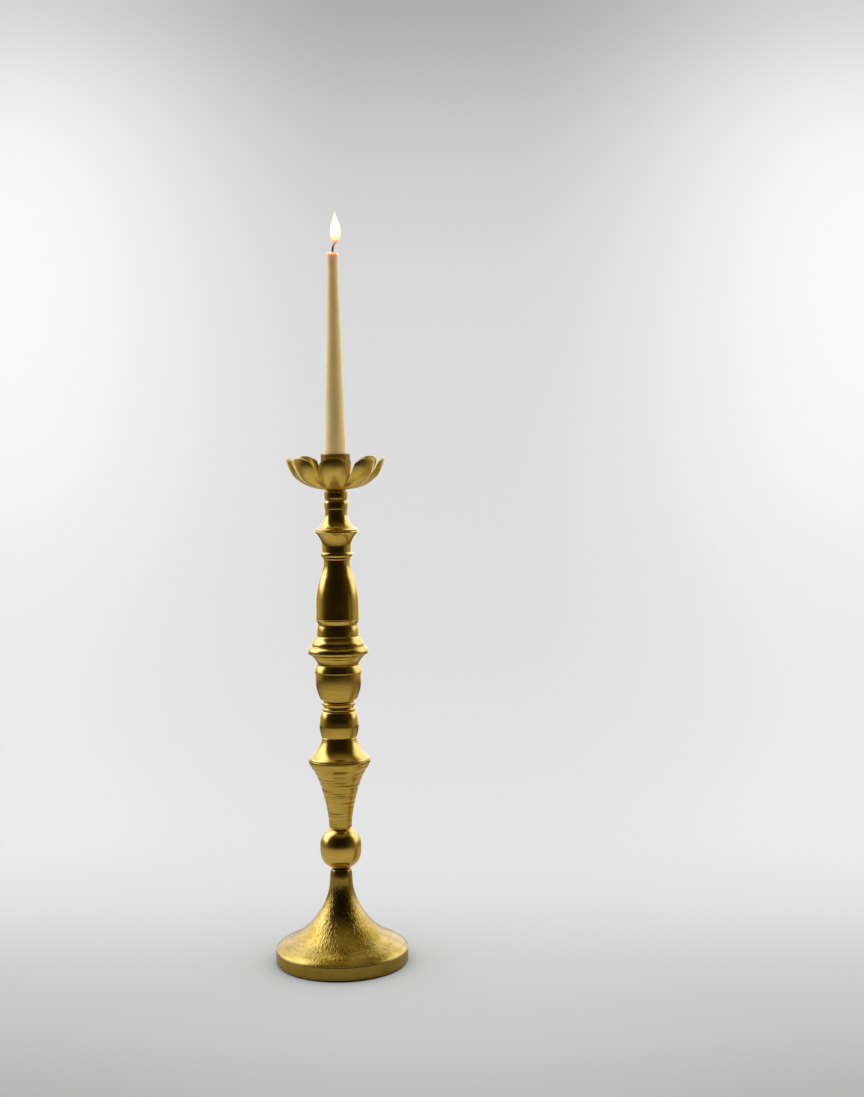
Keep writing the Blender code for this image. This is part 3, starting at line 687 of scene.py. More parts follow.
def build_foot():
    upper = soften([
        (NECK_RADIUS - 1.6, FOOT_TOP), (NECK_RADIUS - 1.2, 103.0), (NECK_RADIUS - 0.4, 99.0),
        (NECK_RADIUS, FLARE_TOP),
    ], 0.4, closed=False)
    hammered = respace([point for point in flare(120) if point[0] < 61.5] + [
        (64.0, 22.9), (66.0, 21.85), (68.0, 20.6), (70.0, 19.15), (71.2, 18.1), (72.05, 17.2),
    ], 0.62)
    # the edge, the upright rim below it, the underside and the rim's inner face
    lower = [
        (72.3, 16.95), (72.46, 16.7), (72.42, 16.5), (71.9, 16.4), (71.9, 15.95), (72.45, 15.85),
        (72.6, 15.6), (72.6, 15.0), (72.6, 13.0), (72.6, 10.0), (72.6, 7.0), (72.6, 4.0),
        (72.6, 2.8), (72.5, 2.2), (72.2, 1.85), (71.8, FOOT_BASE), (66.0, FOOT_BASE),
        (62.3, FOOT_BASE), (62.0, 2.2), (62.0, 8.0), (62.0, 13.1), (61.7, 13.5),
    ]
    outer = flare(40) + [(71.1, 20.2)]
    inner = [(radius_at(outer, z) - WALL, z - 2.4)
             for z in (24.5, 28.0, 32.0, 38.0, 45.0, 51.0, 58.0, 65.0)]
    inner += [(radius_at(outer, 72.0) - WALL, 72.0), (ROD_BORE, 72.0), (ROD_BORE, 88.0),
              (ROD_BORE, FOOT_TOP)]
    first = len(upper) - 1
    last = first + len(hammered)

    marks = hammer_marks(hammered, FOOT_SEGMENTS)
    tangent = np.gradient(np.array(hammered), axis=0)
    tangent /= np.hypot(tangent[:, 0], tangent[:, 1])[:, None]
    normal = np.stack([-tangent[:, 1], tangent[:, 0]], axis=1)
    fade = np.interp(np.array(hammered)[:, 1],
                     [17.2, 19.5, 24.0, 84.0, 92.0], [0.15, 0.55, 1.0, 1.0, 0.0])

    def shape(radii, heights, angles, i):
        if first <= i < last:
            k = i - first
            depth = marks[k] * HAMMER_DEPTH * fade[k]
            return radii + normal[k, 0] * depth, heights + normal[k, 1] * depth
        return radii, heights

    loop = anchored("foot", upper[:-1] + hammered + lower + inner)
    obj = swept("foot_fine", loop, HAMMERED, FOOT_SEGMENTS, True, shape)
    mesh = obj.data
    mesh.materials.append(RIM_BRASS)
    mesh.materials.append(EDGE_HIGHLIGHT_BRASS)
    # the two strips at the edge are slot 2, brass painted bright as an edge highlight; everything
    # after them slot 1
    start = last * FOOT_SEGMENTS
    for face in mesh.polygons:
        if min(face.vertices) >= start:
            face.material_index = 2 if max(face.vertices) < start + 3 * FOOT_SEGMENTS else 1
    # painted shade: the foot darkens towards the neck
    painted_shade = mesh.attributes.new("painted_shade", "FLOAT", "POINT")
    heights = np.array([vert.co.z for vert in mesh.vertices]) * PER_METRE
    shade_amount = np.interp(heights, [60.0, 78.0, 90.0, 104.0], [0.0, 0.12, 0.62, 0.72])
    painted_shade.data.foreach_set("value", shade_amount.astype(np.float32))
    stand_for(obj, "foot")


build_foot()

turned("joint_washer", [
    (9.8, 105.75), (10.0, 105.3), (10.0, 104.8), (9.8, 104.35),
    (ROD_BORE, 104.35), (ROD_BORE, 105.75),
], BLACKENED, segments=96, rounding=0.15)

# ================================================================= the column
BALL_RADIUS, BALL_HALF_HEIGHT, BALL_CENTRE = 22.4, 22.8, 128.0
BALL_POWER_UP, BALL_POWER_DOWN = 2.4, 2.6     # how square the upper and lower halves are


def spheroid(top, bottom, count):
    """The ball's side between two heights."""
    start = math.acos((top - BALL_CENTRE) / BALL_HALF_HEIGHT)
    end = math.acos((bottom - BALL_CENTRE) / BALL_HALF_HEIGHT)
    points = []
    for i in range(count + 1):
        z = math.cos(start + (end - start) * i / count)
        power = BALL_POWER_UP if z > 0.0 else BALL_POWER_DOWN
        points.append((BALL_RADIUS * (1.0 - abs(z) ** power) ** (1.0 / power),
                       BALL_CENTRE + BALL_HALF_HEIGHT * z))
    return points


BALL = [(10.4, 150.25), *spheroid(149.2, 107.2, 48), (11.6, 106.5), (11.0, 106.05)]
CONE_SIDE = outline((33.5, 224.0), (bow, (29.9, 216.2), 0.6, 30), (bow, (19.0, 190.0), -1.2, 100),
                    (bow, (12.2, 150.55), -1.2, 110))
CONE = [(32.9, 226.45), (33.5, 226.0)] + CONE_SIDE
SKIRT = outline((19.2, 250.85), (19.5, 250.2), (bow, (29.8, 230.6), -2.0, 28), (31.4, 229.5),
                (32.6, 228.6), (33.15, 228.0), (33.4, 227.4), (33.35, 227.1), (33.1, 226.75))
VASE = outline((18.3, 279.45), (19.1, 278.6), (bow, (21.5, 268.0), 0.5, 18),
               *bow((21.6, 264.0), (19.3, 251.15), 0.3, 14))
RINGS = outline((17.4, 292.05), (17.0, 290.8), (17.2, 289.2), (bead, (17.2, 286.0), 1.5, 14),
                (16.9, 284.7), (17.2, 283.2), (bead, (17.4, 280.4), 1.4, 14), (17.5, 279.75))
BEAKER = outline((23.2, 330.25), (bow, (26.2, 322.6), 0.3, 16), (25.8, 321.9),
                 (bow, (19.7, 292.35), 1.85, 36))
CAVETTO = outline((30.4, 341.65), (30.4, 341.0), (28.0, 340.0), (27.5, 338.8),
                  (bow, (24.9, 335.4), -0.3, 10), (23.9, 334.4), (23.6, 333.2), (23.4, 330.55))
TORUS = outline((28.6, 351.25), (28.8, 350.6), (bead, (30.5, 341.95), 3.8, 30))
OGEE = outline((23.8, 361.85), (24.3, 361.2), (bow, (27.6, 356.0), -0.2, 12),
               (bow, (28.9, 351.55), 0.5, 10))
DRUM = outline((23.7, 379.85), (23.9, 379.2), (22.7, 377.2), (21.9, 375.0),
               *bow((21.7, 374.2), (23.4, 362.15), 0.6, 16))
BALUSTER = outline((15.6, 446.85), (15.5, 445.5), (14.7, 444.5), (14.7, 440.6),
                   (bow, (18.4, 426.0), -0.7, 20), (bow, (24.0, 392.0), 1.6, 36),
                   (24.02, 389.0), (24.0, 385.0), (24.0, 380.6), (23.7, 380.15))
FLANGE = outline((23.6, 475.85), (24.2, 475.2), (24.2, 474.5), (bow, (16.3, 459.6), -1.4, 24),
                 (16.1, 452.6), (bead, (15.6, 447.15), 2.1, 20))
NECK = outline((12.3, 508.05), (12.6, 507.2), (bead, (12.6, 498.8), 0.7, 18), (12.5, 498.0),
               (12.4, 492.8), (bow, (19.4, 479.4), -1.3, 24), (21.4, 478.2), (23.3, 477.4),
               (23.5, 476.8), (23.2, 476.15))

COLLAR_SPIGOT = 8.2
# bottom to top: node, outline, finish, spigot radius, heights of the inner wall, corner radius
COLUMN = [
    ("ball_knop", BALL, POLISHED, None, (114.0, 121.0, 135.0, 142.0), 0.3),
    ("ribbed_cone", CONE, SATIN, 8.0, (170.0, 195.0, 212.0), 0.3),
    ("bell_skirt", SKIRT, POLISHED, 27.0, (232.0,), 0.28),
    ("lower_vase", VASE, POLISHED, 15.2, (258.0, 272.0), 0.28),
    ("ring_collar", RINGS, POLISHED, 14.2, (), 0.15),
    ("beaker_cup", BEAKER, SATIN, 14.2, (299.0, 312.0, 322.0), 0.28),
    ("cavetto_ring", CAVETTO, POLISHED, 19.0, (), 0.28),
    ("torus_ring", TORUS, POLISHED, 20.0, (), 0.28),
    ("ogee_collar", OGEE, POLISHED, 20.0, (), 0.28),
    ("drum", DRUM, POLISHED, 19.0, (), 0.28),
    ("baluster", BALUSTER, POLISHED, 18.6, (388.0, 408.0, 428.0), 0.2),
    ("flange_cup", FLANGE, POLISHED, 10.8, (), 0.28),
    ("bell_neck", NECK, POLISHED, 10.8, (), 0.28),
]


def ridge(z, angles):
    """Radius change of the cone's lathe ridges: uneven rolls with finer lines on them."""
    strength = float(np.interp(z, [151.0, 160.0, 178.0, 190.0, 214.0, 220.0, 223.5],
                               [0.05, 0.11, 0.16, 0.27, 0.31, 0.20, 0.0]))
    # drift and swell make the ridges wander and fade round the piece
    drift = 0.55 * np.sin(angles + z * 0.11) + 0.3 * np.sin(2.0 * angles - z * 0.17)
    swell = 0.62 + 0.38 * np.sin(angles * 2.0 + z * 0.33 + 1.2 * math.sin(z * 0.19))
    broad = np.sin(z * 0.93 + 0.9 * math.sin(z * 0.21) + drift)
    broad = broad + 0.6 * swell * np.sin(z * 1.63 + 1.4 * math.sin(z * 0.37) + 1.0 - drift)
    fine = 0.46 * (1.0 - 0.5 * swell) * np.sin(z * 3.7 + 1.5 * math.sin(z * 0.53) + 2.0 * drift)
    fine = fine + 0.09 * np.sin(z * 7.9 + drift)
    return strength * swell * (broad + fine - 1.3) * 0.98


def cone_shape(radii, heights, angles, i):
    """Lathe ridges on the cone's outer face only."""
    z = float(heights[0])
    if 150.7 < z < 223.9 and radii[0] > radius_at(CONE_SIDE, z) - 0.8:
        return radii + ridge(z, angles), heights
    return radii, heights


spigots_above = [piece[3] for piece in COLUMN[1:]] + [COLLAR_SPIGOT]
for (node, outer, finish, spigot, stations, rounding), above in zip(COLUMN, spigots_above):
    turned(node, hollow(outer, spigot, above, stations), finish, rounding=rounding,
           shape=cone_shape if node == "ribbed_cone" else None)

turned("neck_collar", [
    (12.6, 518.0), (13.2, 517.2), (13.2, 511.6), (12.5, 509.6), (12.4, 508.35),
    (COLLAR_SPIGOT, 508.35), (COLLAR_SPIGOT, 506.35), (ROD_BORE, 506.35), (ROD_BORE, 511.3),
    (9.0, 511.3), (9.0, 518.0),
], POLISHED)

# ==================================================== steel rod and fasteners
THREAD_PITCH = 1.25
ROD_RADIUS = 4.0
ROD_CHAMFER = 0.8
LOW_THREAD, HIGH_THREAD = 16.0, 24.0      # threaded lengths at the rod's ends
NUT_FLATS, NUT_FACE, NUT_BORE = 13.0, 6.35, 4.3   # width across flats, face and bore radii
NUT_CHAMFER = 0.55


def thread_height(heights, angles):
    """A thread's triangular form: 0 at the start of each turn, 1 halfway."""
    phase = (heights / THREAD_PITCH - angles / (2.0 * np.pi)) % 1.0
    return 1.0 - np.abs(2.0 * phase - 1.0)


def build_rod():
    """M8 rod: threads at both ends, plain between, chamfered tips."""
    bottom, top = height_range("tie_rod")
    low_end, high_start = bottom + LOW_THREAD, top - HIGH_THREAD
    step = THREAD_PITCH / 10.0
    stations = [*np.arange(bottom, low_end, step), *np.linspace(low_end, high_start, 40),
                *np.arange(high_start + step, top, step), top]
    loop = [(0.0, top)] + [(ROD_RADIUS, z) for z in reversed(stations)] + [(0.0, bottom)]

    def shape(radii, heights, angles, i):
        z = heights[0]
        if low_end < z < high_start:
            run_out = min(1.0, min(z - low_end, high_start - z))
            return np.full_like(radii, ROD_RADIUS - 0.35 * run_out), heights
        limit = ROD_RADIUS - max(0.0, ROD_CHAMFER - min(z - bottom, top - z))
        return np.minimum(3.98 - 0.68 * thread_height(heights, angles), limit), heights

    stand_for(swept("tie_rod_fine", loop, STEEL, 48, False, shape), "tie_rod")


def build_nut(node):
    """A hexagon nut with 30 degree chamfers and a countersunk, threaded bore."""
    bottom, top = height_range(node)
    loop = [(NUT_FACE, top), (NUT_FACE, top), (NUT_FACE, bottom), (NUT_FACE, bottom),
            (NUT_BORE + NUT_CHAMFER, bottom), (NUT_BORE, bottom + NUT_CHAMFER)]
    thread_start = len(loop)
    loop += [(NUT_BORE, z) for z in np.arange(bottom + 0.7, top - 0.6, 0.16)]
    thread_end = len(loop)
    loop += [(NUT_BORE, top - NUT_CHAMFER), (NUT_BORE + NUT_CHAMFER, top)]

    def shape(radii, heights, angles, i):
        if i in (1, 2):
            hexagon = (NUT_FLATS / 2.0) / np.cos((angles % (math.pi / 3.0)) - math.pi / 6.0)
            drop = (hexagon - NUT_FACE).clip(0.0) * math.tan(math.radians(30.0))
            return hexagon, heights - drop if i == 1 else heights + drop
        if thread_start <= i < thread_end:
            return radii + 0.12 * thread_height(heights, angles), heights
        return radii, heights

    obj = swept(node + "_fine", loop, STEEL, 96, True, shape)
    obj.data.set_sharp_from_angle(angle=math.radians(22.0))
    stand_for(obj, node)


build_rod()
turned("rod_washer", [(10.0, 71.7), (10.0, 70.1), (ROD_BORE, 70.1), (ROD_BORE, 71.7)],
       STEEL, segments=96, rounding=0.2)
build_nut("rod_nut")
build_nut("lock_nut")

# ============================================================== lotus drip pan
PAN_BOTTOM = 518.3
turned("pan_floor", [
    (15.6, 524.85), (17.0, 524.4), (17.1, 523.4), (10.6, 522.1), (10.6, 519.5), (11.2, 519.3),
    (11.2, 518.7), (10.8, PAN_BOTTOM), (6.4, PAN_BOTTOM), (6.4, 524.85),
], POLISHED, rounding=0.22)

PETALS = 8
PETAL_THICKNESS = 1.2
# the petals' middle lines lie on an elliptical bowl: its offset, half axes and lowest height
BOWL_OFFSET, BOWL_WIDTH, BOWL_BOTTOM, BOWL_HEIGHT = 9.5, 43.4, 519.8, 34.2
PETAL_START = 11.2        # radius of the petals' roots
PETAL_CUP = 21.0          # radius of the curve across a petal
PETAL_HALF_WIDTH = 17.4
PETAL_TIP = 9.5           # how much shorter the petal is at its sides
PETAL_GAP = 0.3           # half the gap between neighbours
ARC_START = math.asin((PETAL_START - BOWL_OFFSET) / BOWL_WIDTH)
ARC_END = math.radians(91.5)
ARC_STEPS = 240


def bowl(step):
    """A point (radius, height) on the bowl and its inward direction, at a step of the arc."""
    angle = ARC_START + (ARC_END - ARC_START) * step / ARC_STEPS
    radius = BOWL_OFFSET + BOWL_WIDTH * math.sin(angle)
    z = BOWL_BOTTOM + BOWL_HEIGHT * (1.0 - math.cos(angle))
    run, rise = BOWL_WIDTH * math.cos(angle), BOWL_HEIGHT * math.sin(angle)
    length = math.hypot(run, rise)
    return (radius, z), (-rise / length, run / length)


ARC_LENGTHS = [0.0]
for k in range(ARC_STEPS):
    here, ahead = bowl(k)[0], bowl(k + 1)[0]
    ARC_LENGTHS.append(ARC_LENGTHS[-1] + math.hypot(ahead[0] - here[0], ahead[1] - here[1]))


def bowl_at(distance):
    return bowl(float(np.interp(distance, ARC_LENGTHS, range(ARC_STEPS + 1))))


def cup_radius(distance):
    """The cross curve's radius, flatter near the root."""
    flat = max(0.0, 1.0 - distance / 16.0)
    return PETAL_CUP + 70.0 * flat * flat


def half_width(distance):
    """Half the petal's width: its share of the circle, blended into the widest it may be."""
    centre, inward = bowl_at(distance)
    cup = cup_radius(distance)
    slope = math.tan(math.pi / PETALS)
    wedge = centre[0] * slope - PETAL_GAP
    for _ in range(3):
        lift = cup - math.sqrt(max(1.0, cup ** 2 - wedge ** 2))
        wedge = (centre[0] + inward[0] * lift) * slope - PETAL_GAP
    power = 6.0
    return (wedge ** -power + PETAL_HALF_WIDTH ** -power) ** (-1.0 / power)


def petal_point(along, across, dent=None):
    """A point of a petal's outer face, mm; along runs 0 to 1, across -1 to 1."""
    shortening = PETAL_TIP * (1.0 - math.sqrt(max(0.0, 1.0 - across * across)))
    distance = along * (ARC_LENGTHS[-1] - shortening)
    centre, inward = bowl_at(distance)
    cup = cup_radius(distance)
    angle = across * math.asin(min(0.999, half_width(distance) / cup))
    side, lift = cup * math.sin(angle), cup * (1.0 - math.cos(angle))
    lift *= abs(across) ** 0.35       # scales the lift from 0 at the middle line to full at the edges
    if dent is not None:
        lift += dent(distance, side) * min(1.0, 3.0 * along) * (1.0 - across ** 4)
    return (centre[0] + inward[0] * lift, side, centre[1] + inward[1] * lift)


def petal_painted_shade(point):
    """Painted shade at a petal's root and a painted dark reflection band near its lip; point is in
    mm, petal along +X.
    """
    root = max(0.0, 1.0 - math.hypot((point.x - 15.0) / 13.0, point.y / 5.2)) ** 0.6
    lip = max(0.0, 1.0 - abs(point.z - 549.5) / 5.0) * 0.55
    return min(1.0, root + lip)


def petal_mesh(name, k):
    rng = np.random.RandomState(40 + k)
    # shallow knocks: distance along, place across, half sizes along and across, depth
    knocks = [(rng.uniform(12.0, 46.0), rng.uniform(-9.0, 9.0), rng.uniform(4.0, 8.0),
               rng.uniform(3.0, 6.0), rng.uniform(-0.34, 0.30)) for _ in range(7)]

    def dent(distance, side):
        total = 0.0
        for place, across, length, width, depth in knocks:
            total += depth * math.exp(-((distance - place) / length) ** 2
                                      - ((side - across) / width) ** 2)
        return total

    grid = bmesh.new()
    bmesh.ops.create_grid(grid, x_segments=56, y_segments=44, size=1.0)
    for vert in grid.verts:
        across = vert.co.y
        # closer rows at the edges, where the outline turns
        across = math.copysign(1.0 - (1.0 - abs(across)) ** 1.25, across)
        vert.co = Vector(petal_point((vert.co.x + 1.0) / 2.0, across, dent)) * MM
    grid.normal_update()
    centre = Vector(petal_point(0.5, 0.0)) * MM
    middle = min(grid.faces, key=lambda face: (face.calc_center_median() - centre).length)
    if middle.normal.x < 0.0:
        bmesh.ops.reverse_faces(grid, faces=grid.faces)
    turn = math.tau * k / PETALS - math.pi / 2.0
    grid.transform(Matrix.Rotation(turn, 4, "Z"))
    mesh = bpy.data.meshes.new(name)
    grid.to_mesh(mesh)
    grid.free()
    # painted shade at the root and a painted dark reflection near the lip, one value per vertex
    painted_shade = mesh.attributes.new("painted_shade", "FLOAT", "POINT")
    turn_back = Matrix.Rotation(-turn, 4, "Z")
    for i, vert in enumerate(mesh.vertices):
        painted_shade.data[i].value = petal_painted_shade(turn_back @ vert.co * PER_METRE)
    mesh.shade_smooth()
    mesh.materials.append(PETAL_BRASS_PAINTED_LIGHT)
    return mesh


def build_petal(k):
    node = f"petal_{k + 1}"
    mesh = petal_mesh(node + "_fine", k)
    obj = bpy.data.objects.new(node + "_fine", mesh)
    scene.collection.objects.link(obj)
    sheet = obj.modifiers.new("sheet", "SOLIDIFY")
    sheet.thickness = PETAL_THICKNESS * MM
    sheet.offset = -1.0
    sheet.use_rim = True
    edge = obj.modifiers.new("filed_edge", "BEVEL")
    edge.width = 0.00032
    edge.segments = 3
    edge.limit_method = "ANGLE"
    edge.angle_limit = math.radians(50.0)
    stand_for(obj, node)
    low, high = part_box(node)
    points = np.array([vert.co for vert in mesh.vertices])
    miss = np.abs([points.min(0) - np.array(low), points.max(0) - np.array(high)]).max()
    if miss > 0.0025:
        raise ValueError(f"{node} has left its packed node's box")


for k in range(PETALS):
    build_petal(k)

# =============================================================== candle socket
SOCKET_RADIUS, SOCKET_BORE = 15.8, 11.9
SOCKET_BASE, SOCKET_FLOOR, SOCKET_RIM = 525.2, 531.5, 558.5
STEM_RADIUS, STEM_LIP, STEM_BORE = 6.0, 7.4, 4.3
STEM_STEP = PAN_BOTTOM - GAP
STEM_END = STEM_STEP - 1.3
turned("candle_socket", [
    (0.0, SOCKET_FLOOR), (SOCKET_BORE - 0.6, SOCKET_FLOOR), (SOCKET_BORE, SOCKET_FLOOR + 0.6),
    (SOCKET_BORE, SOCKET_RIM - 0.8), (SOCKET_BORE + 0.8, SOCKET_RIM),
    (SOCKET_RADIUS - 0.6, SOCKET_RIM), (SOCKET_RADIUS, SOCKET_RIM - 0.6),
    (SOCKET_RADIUS, SOCKET_BASE + 0.5), (SOCKET_RADIUS - 0.5, SOCKET_BASE),
    (STEM_RADIUS, SOCKET_BASE), (STEM_RADIUS, STEM_STEP), (STEM_LIP, STEM_STEP),
    (STEM_LIP, STEM_END), (STEM_BORE, STEM_END), (STEM_BORE, SOCKET_FLOOR - 2.0),
    (0.0, SOCKET_FLOOR - 2.0),
], SOCKET_BRASS, closed=False)

# ============================================================ candle and wick
WAX_FOOT, WAX_TOP = height_range("candle")
WAX_TOP_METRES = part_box("candle")[1].z


def build_candle():
    """A tapered candle with a melted pool at its top and a hole for the wick."""
    outer = [
        (5.75, WAX_TOP), (6.0, WAX_TOP - 0.35), (6.12, WAX_TOP - 1.0), (6.12, WAX_TOP - 4.0),
        (6.07, WAX_TOP - 12.0), (6.05, 751.5), (8.7, 660.0), (11.45, 565.5),
        (11.5, WAX_FOOT + 2.5), (11.2, WAX_FOOT + 0.9), (10.6, WAX_FOOT),
    ]
    pool = [
        (1.2, WAX_FOOT), (1.2, WAX_TOP - 1.9), (1.5, WAX_TOP - 1.95), (2.4, WAX_TOP - 1.9),
        (3.4, WAX_TOP - 1.65), (4.3, WAX_TOP - 1.15), (5.0, WAX_TOP - 0.5), (5.4, WAX_TOP - 0.12),
    ]
    phases = np.random.RandomState(3).uniform(0.0, 2.0 * np.pi, 8)

    def shape(radii, heights, angles, i):
        """Slight unevenness all over, and a lip that has melted unevenly."""
        out = radii.copy()
        z = heights[0]
        if radii[0] > 1.3:
            waver = 0.006 * np.sin(z * 0.11 + phases[0] + 0.8 * np.sin(angles + phases[1]))
            oval = 0.004 * np.sin(2.0 * angles + z * 0.03 + phases[2])
            out = np.minimum(radii * (1.0 + waver + oval), 11.55)
        lip = max(0.0, 1.0 - (WAX_TOP - z) / 2.2) if radii[0] > 4.0 else 0.0
        melt = (0.30 + 0.22 * np.sin(angles * 2.0 + phases[3])
                + 0.10 * np.sin(angles * 5.0 + phases[4]))
        return out, heights - lip * melt

    loop = densify(outer + pool, 2.2)
    finish = wax(WAX_TOP_METRES)
    stand_for(swept("candle_fine", loop, finish, 128, True, shape), "candle")


def wick_path():
    """The wick's middle line, mm: straight in the wax, then bending over towards +X."""
    low, high = height_range("wick")
    tip = high - 0.35
    bend = WAX_TOP + 0.6
    path = [Vector((0.0, 0.0, z)) for z in np.linspace(low, bend, 24)]
    for i in range(1, 41):
        part = i / 40.0
        rise = (tip - bend) * math.sin(part * 1.35) / math.sin(1.35)
        path.append(Vector((3.4 * part * part, 0.0, bend + rise)))
    return path


def build_wick():
    """Braided cotton: three strands wound round each other."""
    finish = wick_cotton(WAX_TOP_METRES - 0.001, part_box("wick")[1].z)
    path = wick_path()
    last = len(path) - 1
    segments = 30
    side = Vector((0.0, 1.0, 0.0))
    verts, faces = [], []
    travelled = 0.0
    for i, point in enumerate(path):
        direction = (path[min(i + 1, last)] - path[max(i - 1, 0)]).normalized()
        other = direction.cross(side).normalized()
        if i:
            travelled += (point - path[i - 1]).length
        taper = 0.72 + 0.28 * min(1.0, (last - i) / 4.0)
        for j in range(segments):
            angle = 2.0 * math.pi * j / segments
            lobe = abs(math.cos(1.5 * (angle - travelled * 1.9)))
            radius = (0.84 + 0.26 * lobe) * taper
            place = point + side * (radius * math.cos(angle)) + other * (radius * math.sin(angle))
            verts.append(tuple(place * MM))
    for i in range(last):
        for j in range(segments):
            here, beside = i * segments + j, i * segments + (j + 1) % segments
            faces.append((here, beside, beside + segments, here + segments))
    faces.append(tuple(range(segments))[::-1])
    faces.append(tuple(range(last * segments, (last + 1) * segments)))
    obj = mesh_object("wick_fine", verts, faces, finish)
    edit = bmesh.new()
    edit.from_mesh(obj.data)
    bmesh.ops.recalc_face_normals(edit, faces=edit.faces)
    edit.to_mesh(obj.data)
    edit.free()
    obj.data.shade_smooth()
    stand_for(obj, "wick")


build_candle()
build_wick()

# ======================================================================= flame
FLAME_BASE, FLAME_TOP = 0.7800, 0.8154
FLAME_GIRTH = 8.1         # scales the flame's radius, mm


def flame_material():
    """A bright core that fades out towards the flame's outline and its base."""
    material, graph = new_material("flame_glow")
    z = graph.coordinates().xyz()[2]
    rise = z.span(FLAME_BASE, FLAME_TOP, smooth=False)
    facing = graph.add("ShaderNodeLayerWeight", {"Blend": 0.5}, output="Facing")
    core = rise.ramp([
        (0.0, (0.30, 0.10, 0.03)), (0.14, (1.0, 0.42, 0.10)), (0.32, (1.0, 0.80, 0.42)),
        (0.6, (1.0, 0.93, 0.68)), (0.85, (1.0, 0.78, 0.34)), (1.0, (1.0, 0.52, 0.12)),
    ])
    color = facing.span(0.45, 0.95).mix(core, (1.0, 0.50, 0.12))
    power = rise.span(0.0, 0.22, 0.35, 2.6) * facing.span(0.30, 1.0, 1.0, 0.35)
    opacity = rise.span(0.0, 0.22, 0.12, 1.0) * facing.span(0.22, 0.98, 1.0, 0.0)
    clear = graph.add("ShaderNodeBsdfTransparent")
    light = graph.add("ShaderNodeEmission", {"Color": color, "Strength": power})
    graph.finish(graph.add("ShaderNodeMixShader", {0: opacity, 1: clear, 2: light}))
    return material


def build_flame():
    line = []
    for i in reversed(range(41)):
        part = i / 40.0
        belly = math.sin(math.pi * min(1.0, part * 1.02)) ** 0.75
        radius = FLAME_GIRTH * belly * (1.0 - part) ** 0.55 if 0 < i < 40 else 0.0
        z = FLAME_TOP - (FLAME_TOP - FLAME_BASE) * (1.0 - part)
        line.append((radius, z * PER_METRE))
    flame = swept("flame", line, flame_material(), 48, False)
    # set over the bent wick, with a slight sway
    for vert in flame.data.vertices:
        rise = (vert.co.z - FLAME_BASE) / (FLAME_TOP - FLAME_BASE)
        vert.co.x += 0.0028 + 0.0006 * rise + 0.0004 * math.sin(rise * 5.0)
    flame.visible_shadow = False
    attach(flame, "candle")


def add_flame_light():
    lamp = bpy.data.lights.new("flame_light", "POINT")
    lamp.energy = 0.065
    lamp.color = (1.0, 0.72, 0.45)
    lamp.shadow_soft_size = 0.005
    obj = bpy.data.objects.new("flame_light", lamp)
    obj.location = (0.0030, 0.0, 0.7945)
    scene.collection.objects.link(obj)
    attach(obj, "candle")


build_flame()
add_flame_light()

# ================================================================ set and light
# the backdrop's brightness from the bottom (0) to the top (1) of the picture
BACKDROP_MIDDLE = [
    (0.0, 0.50), (0.05, 0.585), (0.12, 0.63), (0.17, 0.735), (0.22, 0.795), (0.30, 0.765),
    (0.42, 0.725), (0.60, 0.725), (0.72, 0.70), (0.80, 0.665), (0.88, 0.585), (0.94, 0.50),
    (1.0, 0.41),
]
BACKDROP_SIDES = [
    (0.0, 0.46), (0.05, 0.545), (0.12, 0.62), (0.17, 0.76), (0.23, 0.845), (0.34, 0.82),
    (0.45, 0.835), (0.56, 0.91), (0.68, 0.955), (0.78, 0.96), (0.86, 0.93), (0.93, 0.83),
    (1.0, 0.63),
]


def backdrop(graph):
    """The pale backdrop's brightness across the picture."""
    across, up, _ = graph.coordinates("Window").xyz()
    middle = up.ramp(BACKDROP_MIDDLE, "B_SPLINE")
    sides = up.ramp(BACKDROP_SIDES, "B_SPLINE")
    return (across - 0.5).math("ABSOLUTE").span(0.08, 0.50).mix(middle, sides)


def build_world():
    """The camera sees the backdrop; everything else is lit by a room of soft light areas."""
    world = bpy.data.worlds.new("studio")
    scene.world = world
    world.use_nodes = True
    graph = Graph(world.node_tree)
    x, y, z = graph.coordinates("Generated").xyz()
    # directions in degrees: turn from the camera's side, and elevation
    turn = heading(x, y)
    elevation = z.math("ARCSINE") * TO_DEGREES
    off_front = turn.math("ABSOLUTE")
    # window-like areas to the left (brighter on its front part) and to the right
    left = turn.span(-72.0, -101.0) * (elevation.span(0.0, 15.0) * elevation.span(74.0, 52.0))
    left = left * turn.span(-116.0, -138.0, 2.1, 1.1)
    right = (turn.span(80.0, 112.0, 0.0, 1.35)
             * (elevation.span(-3.0, 9.0) * elevation.span(58.0, 36.0)))
    # the wall behind, the floor at the sides, the ceiling, and a low faint strip at the right
    back = off_front.span(122.0, 150.0) * elevation.span(40.0, 14.0, 0.12, 1.0)
    side_floor = off_front.span(62.0, 116.0) * elevation.span(14.0, -2.0, 0.0, 0.34)
    ceiling = elevation.span(44.0, 80.0) * 0.18
    strip = (turn.span(62.0, 66.0) * turn.span(76.0, 71.0)) * elevation.span(8.0, 0.0, 0.0, 0.10)
    level = left.math("MAXIMUM", right).math("MAXIMUM", back.math("MAXIMUM", side_floor))
    level = level + off_front.span(25.0, 90.0, 0.014, 0.06)
    level = level + ceiling.math("MAXIMUM", strip)
    # dim areas are warm, bright ones white to bluish
    tint = level.ramp([
        (0.0, (1.0, 0.70, 0.22)), (0.12, (1.0, 0.80, 0.34)), (0.45, (1.0, 0.93, 0.62)),
        (0.85, (1.0, 1.0, 1.0)), (1.0, (1.0, 1.0, 1.30)),
    ])
    room = tint.tinted(graph.vector(level, level, level))
    sky = graph.camera_ray().mix(room, backdrop(graph))
    shader = graph.add("ShaderNodeBackground", {"Color": sky, "Strength": 1.0})
    graph.finish(shader, "ShaderNodeOutputWorld")


PANEL_TARGET = Vector((0.0, 0.0, 0.66))
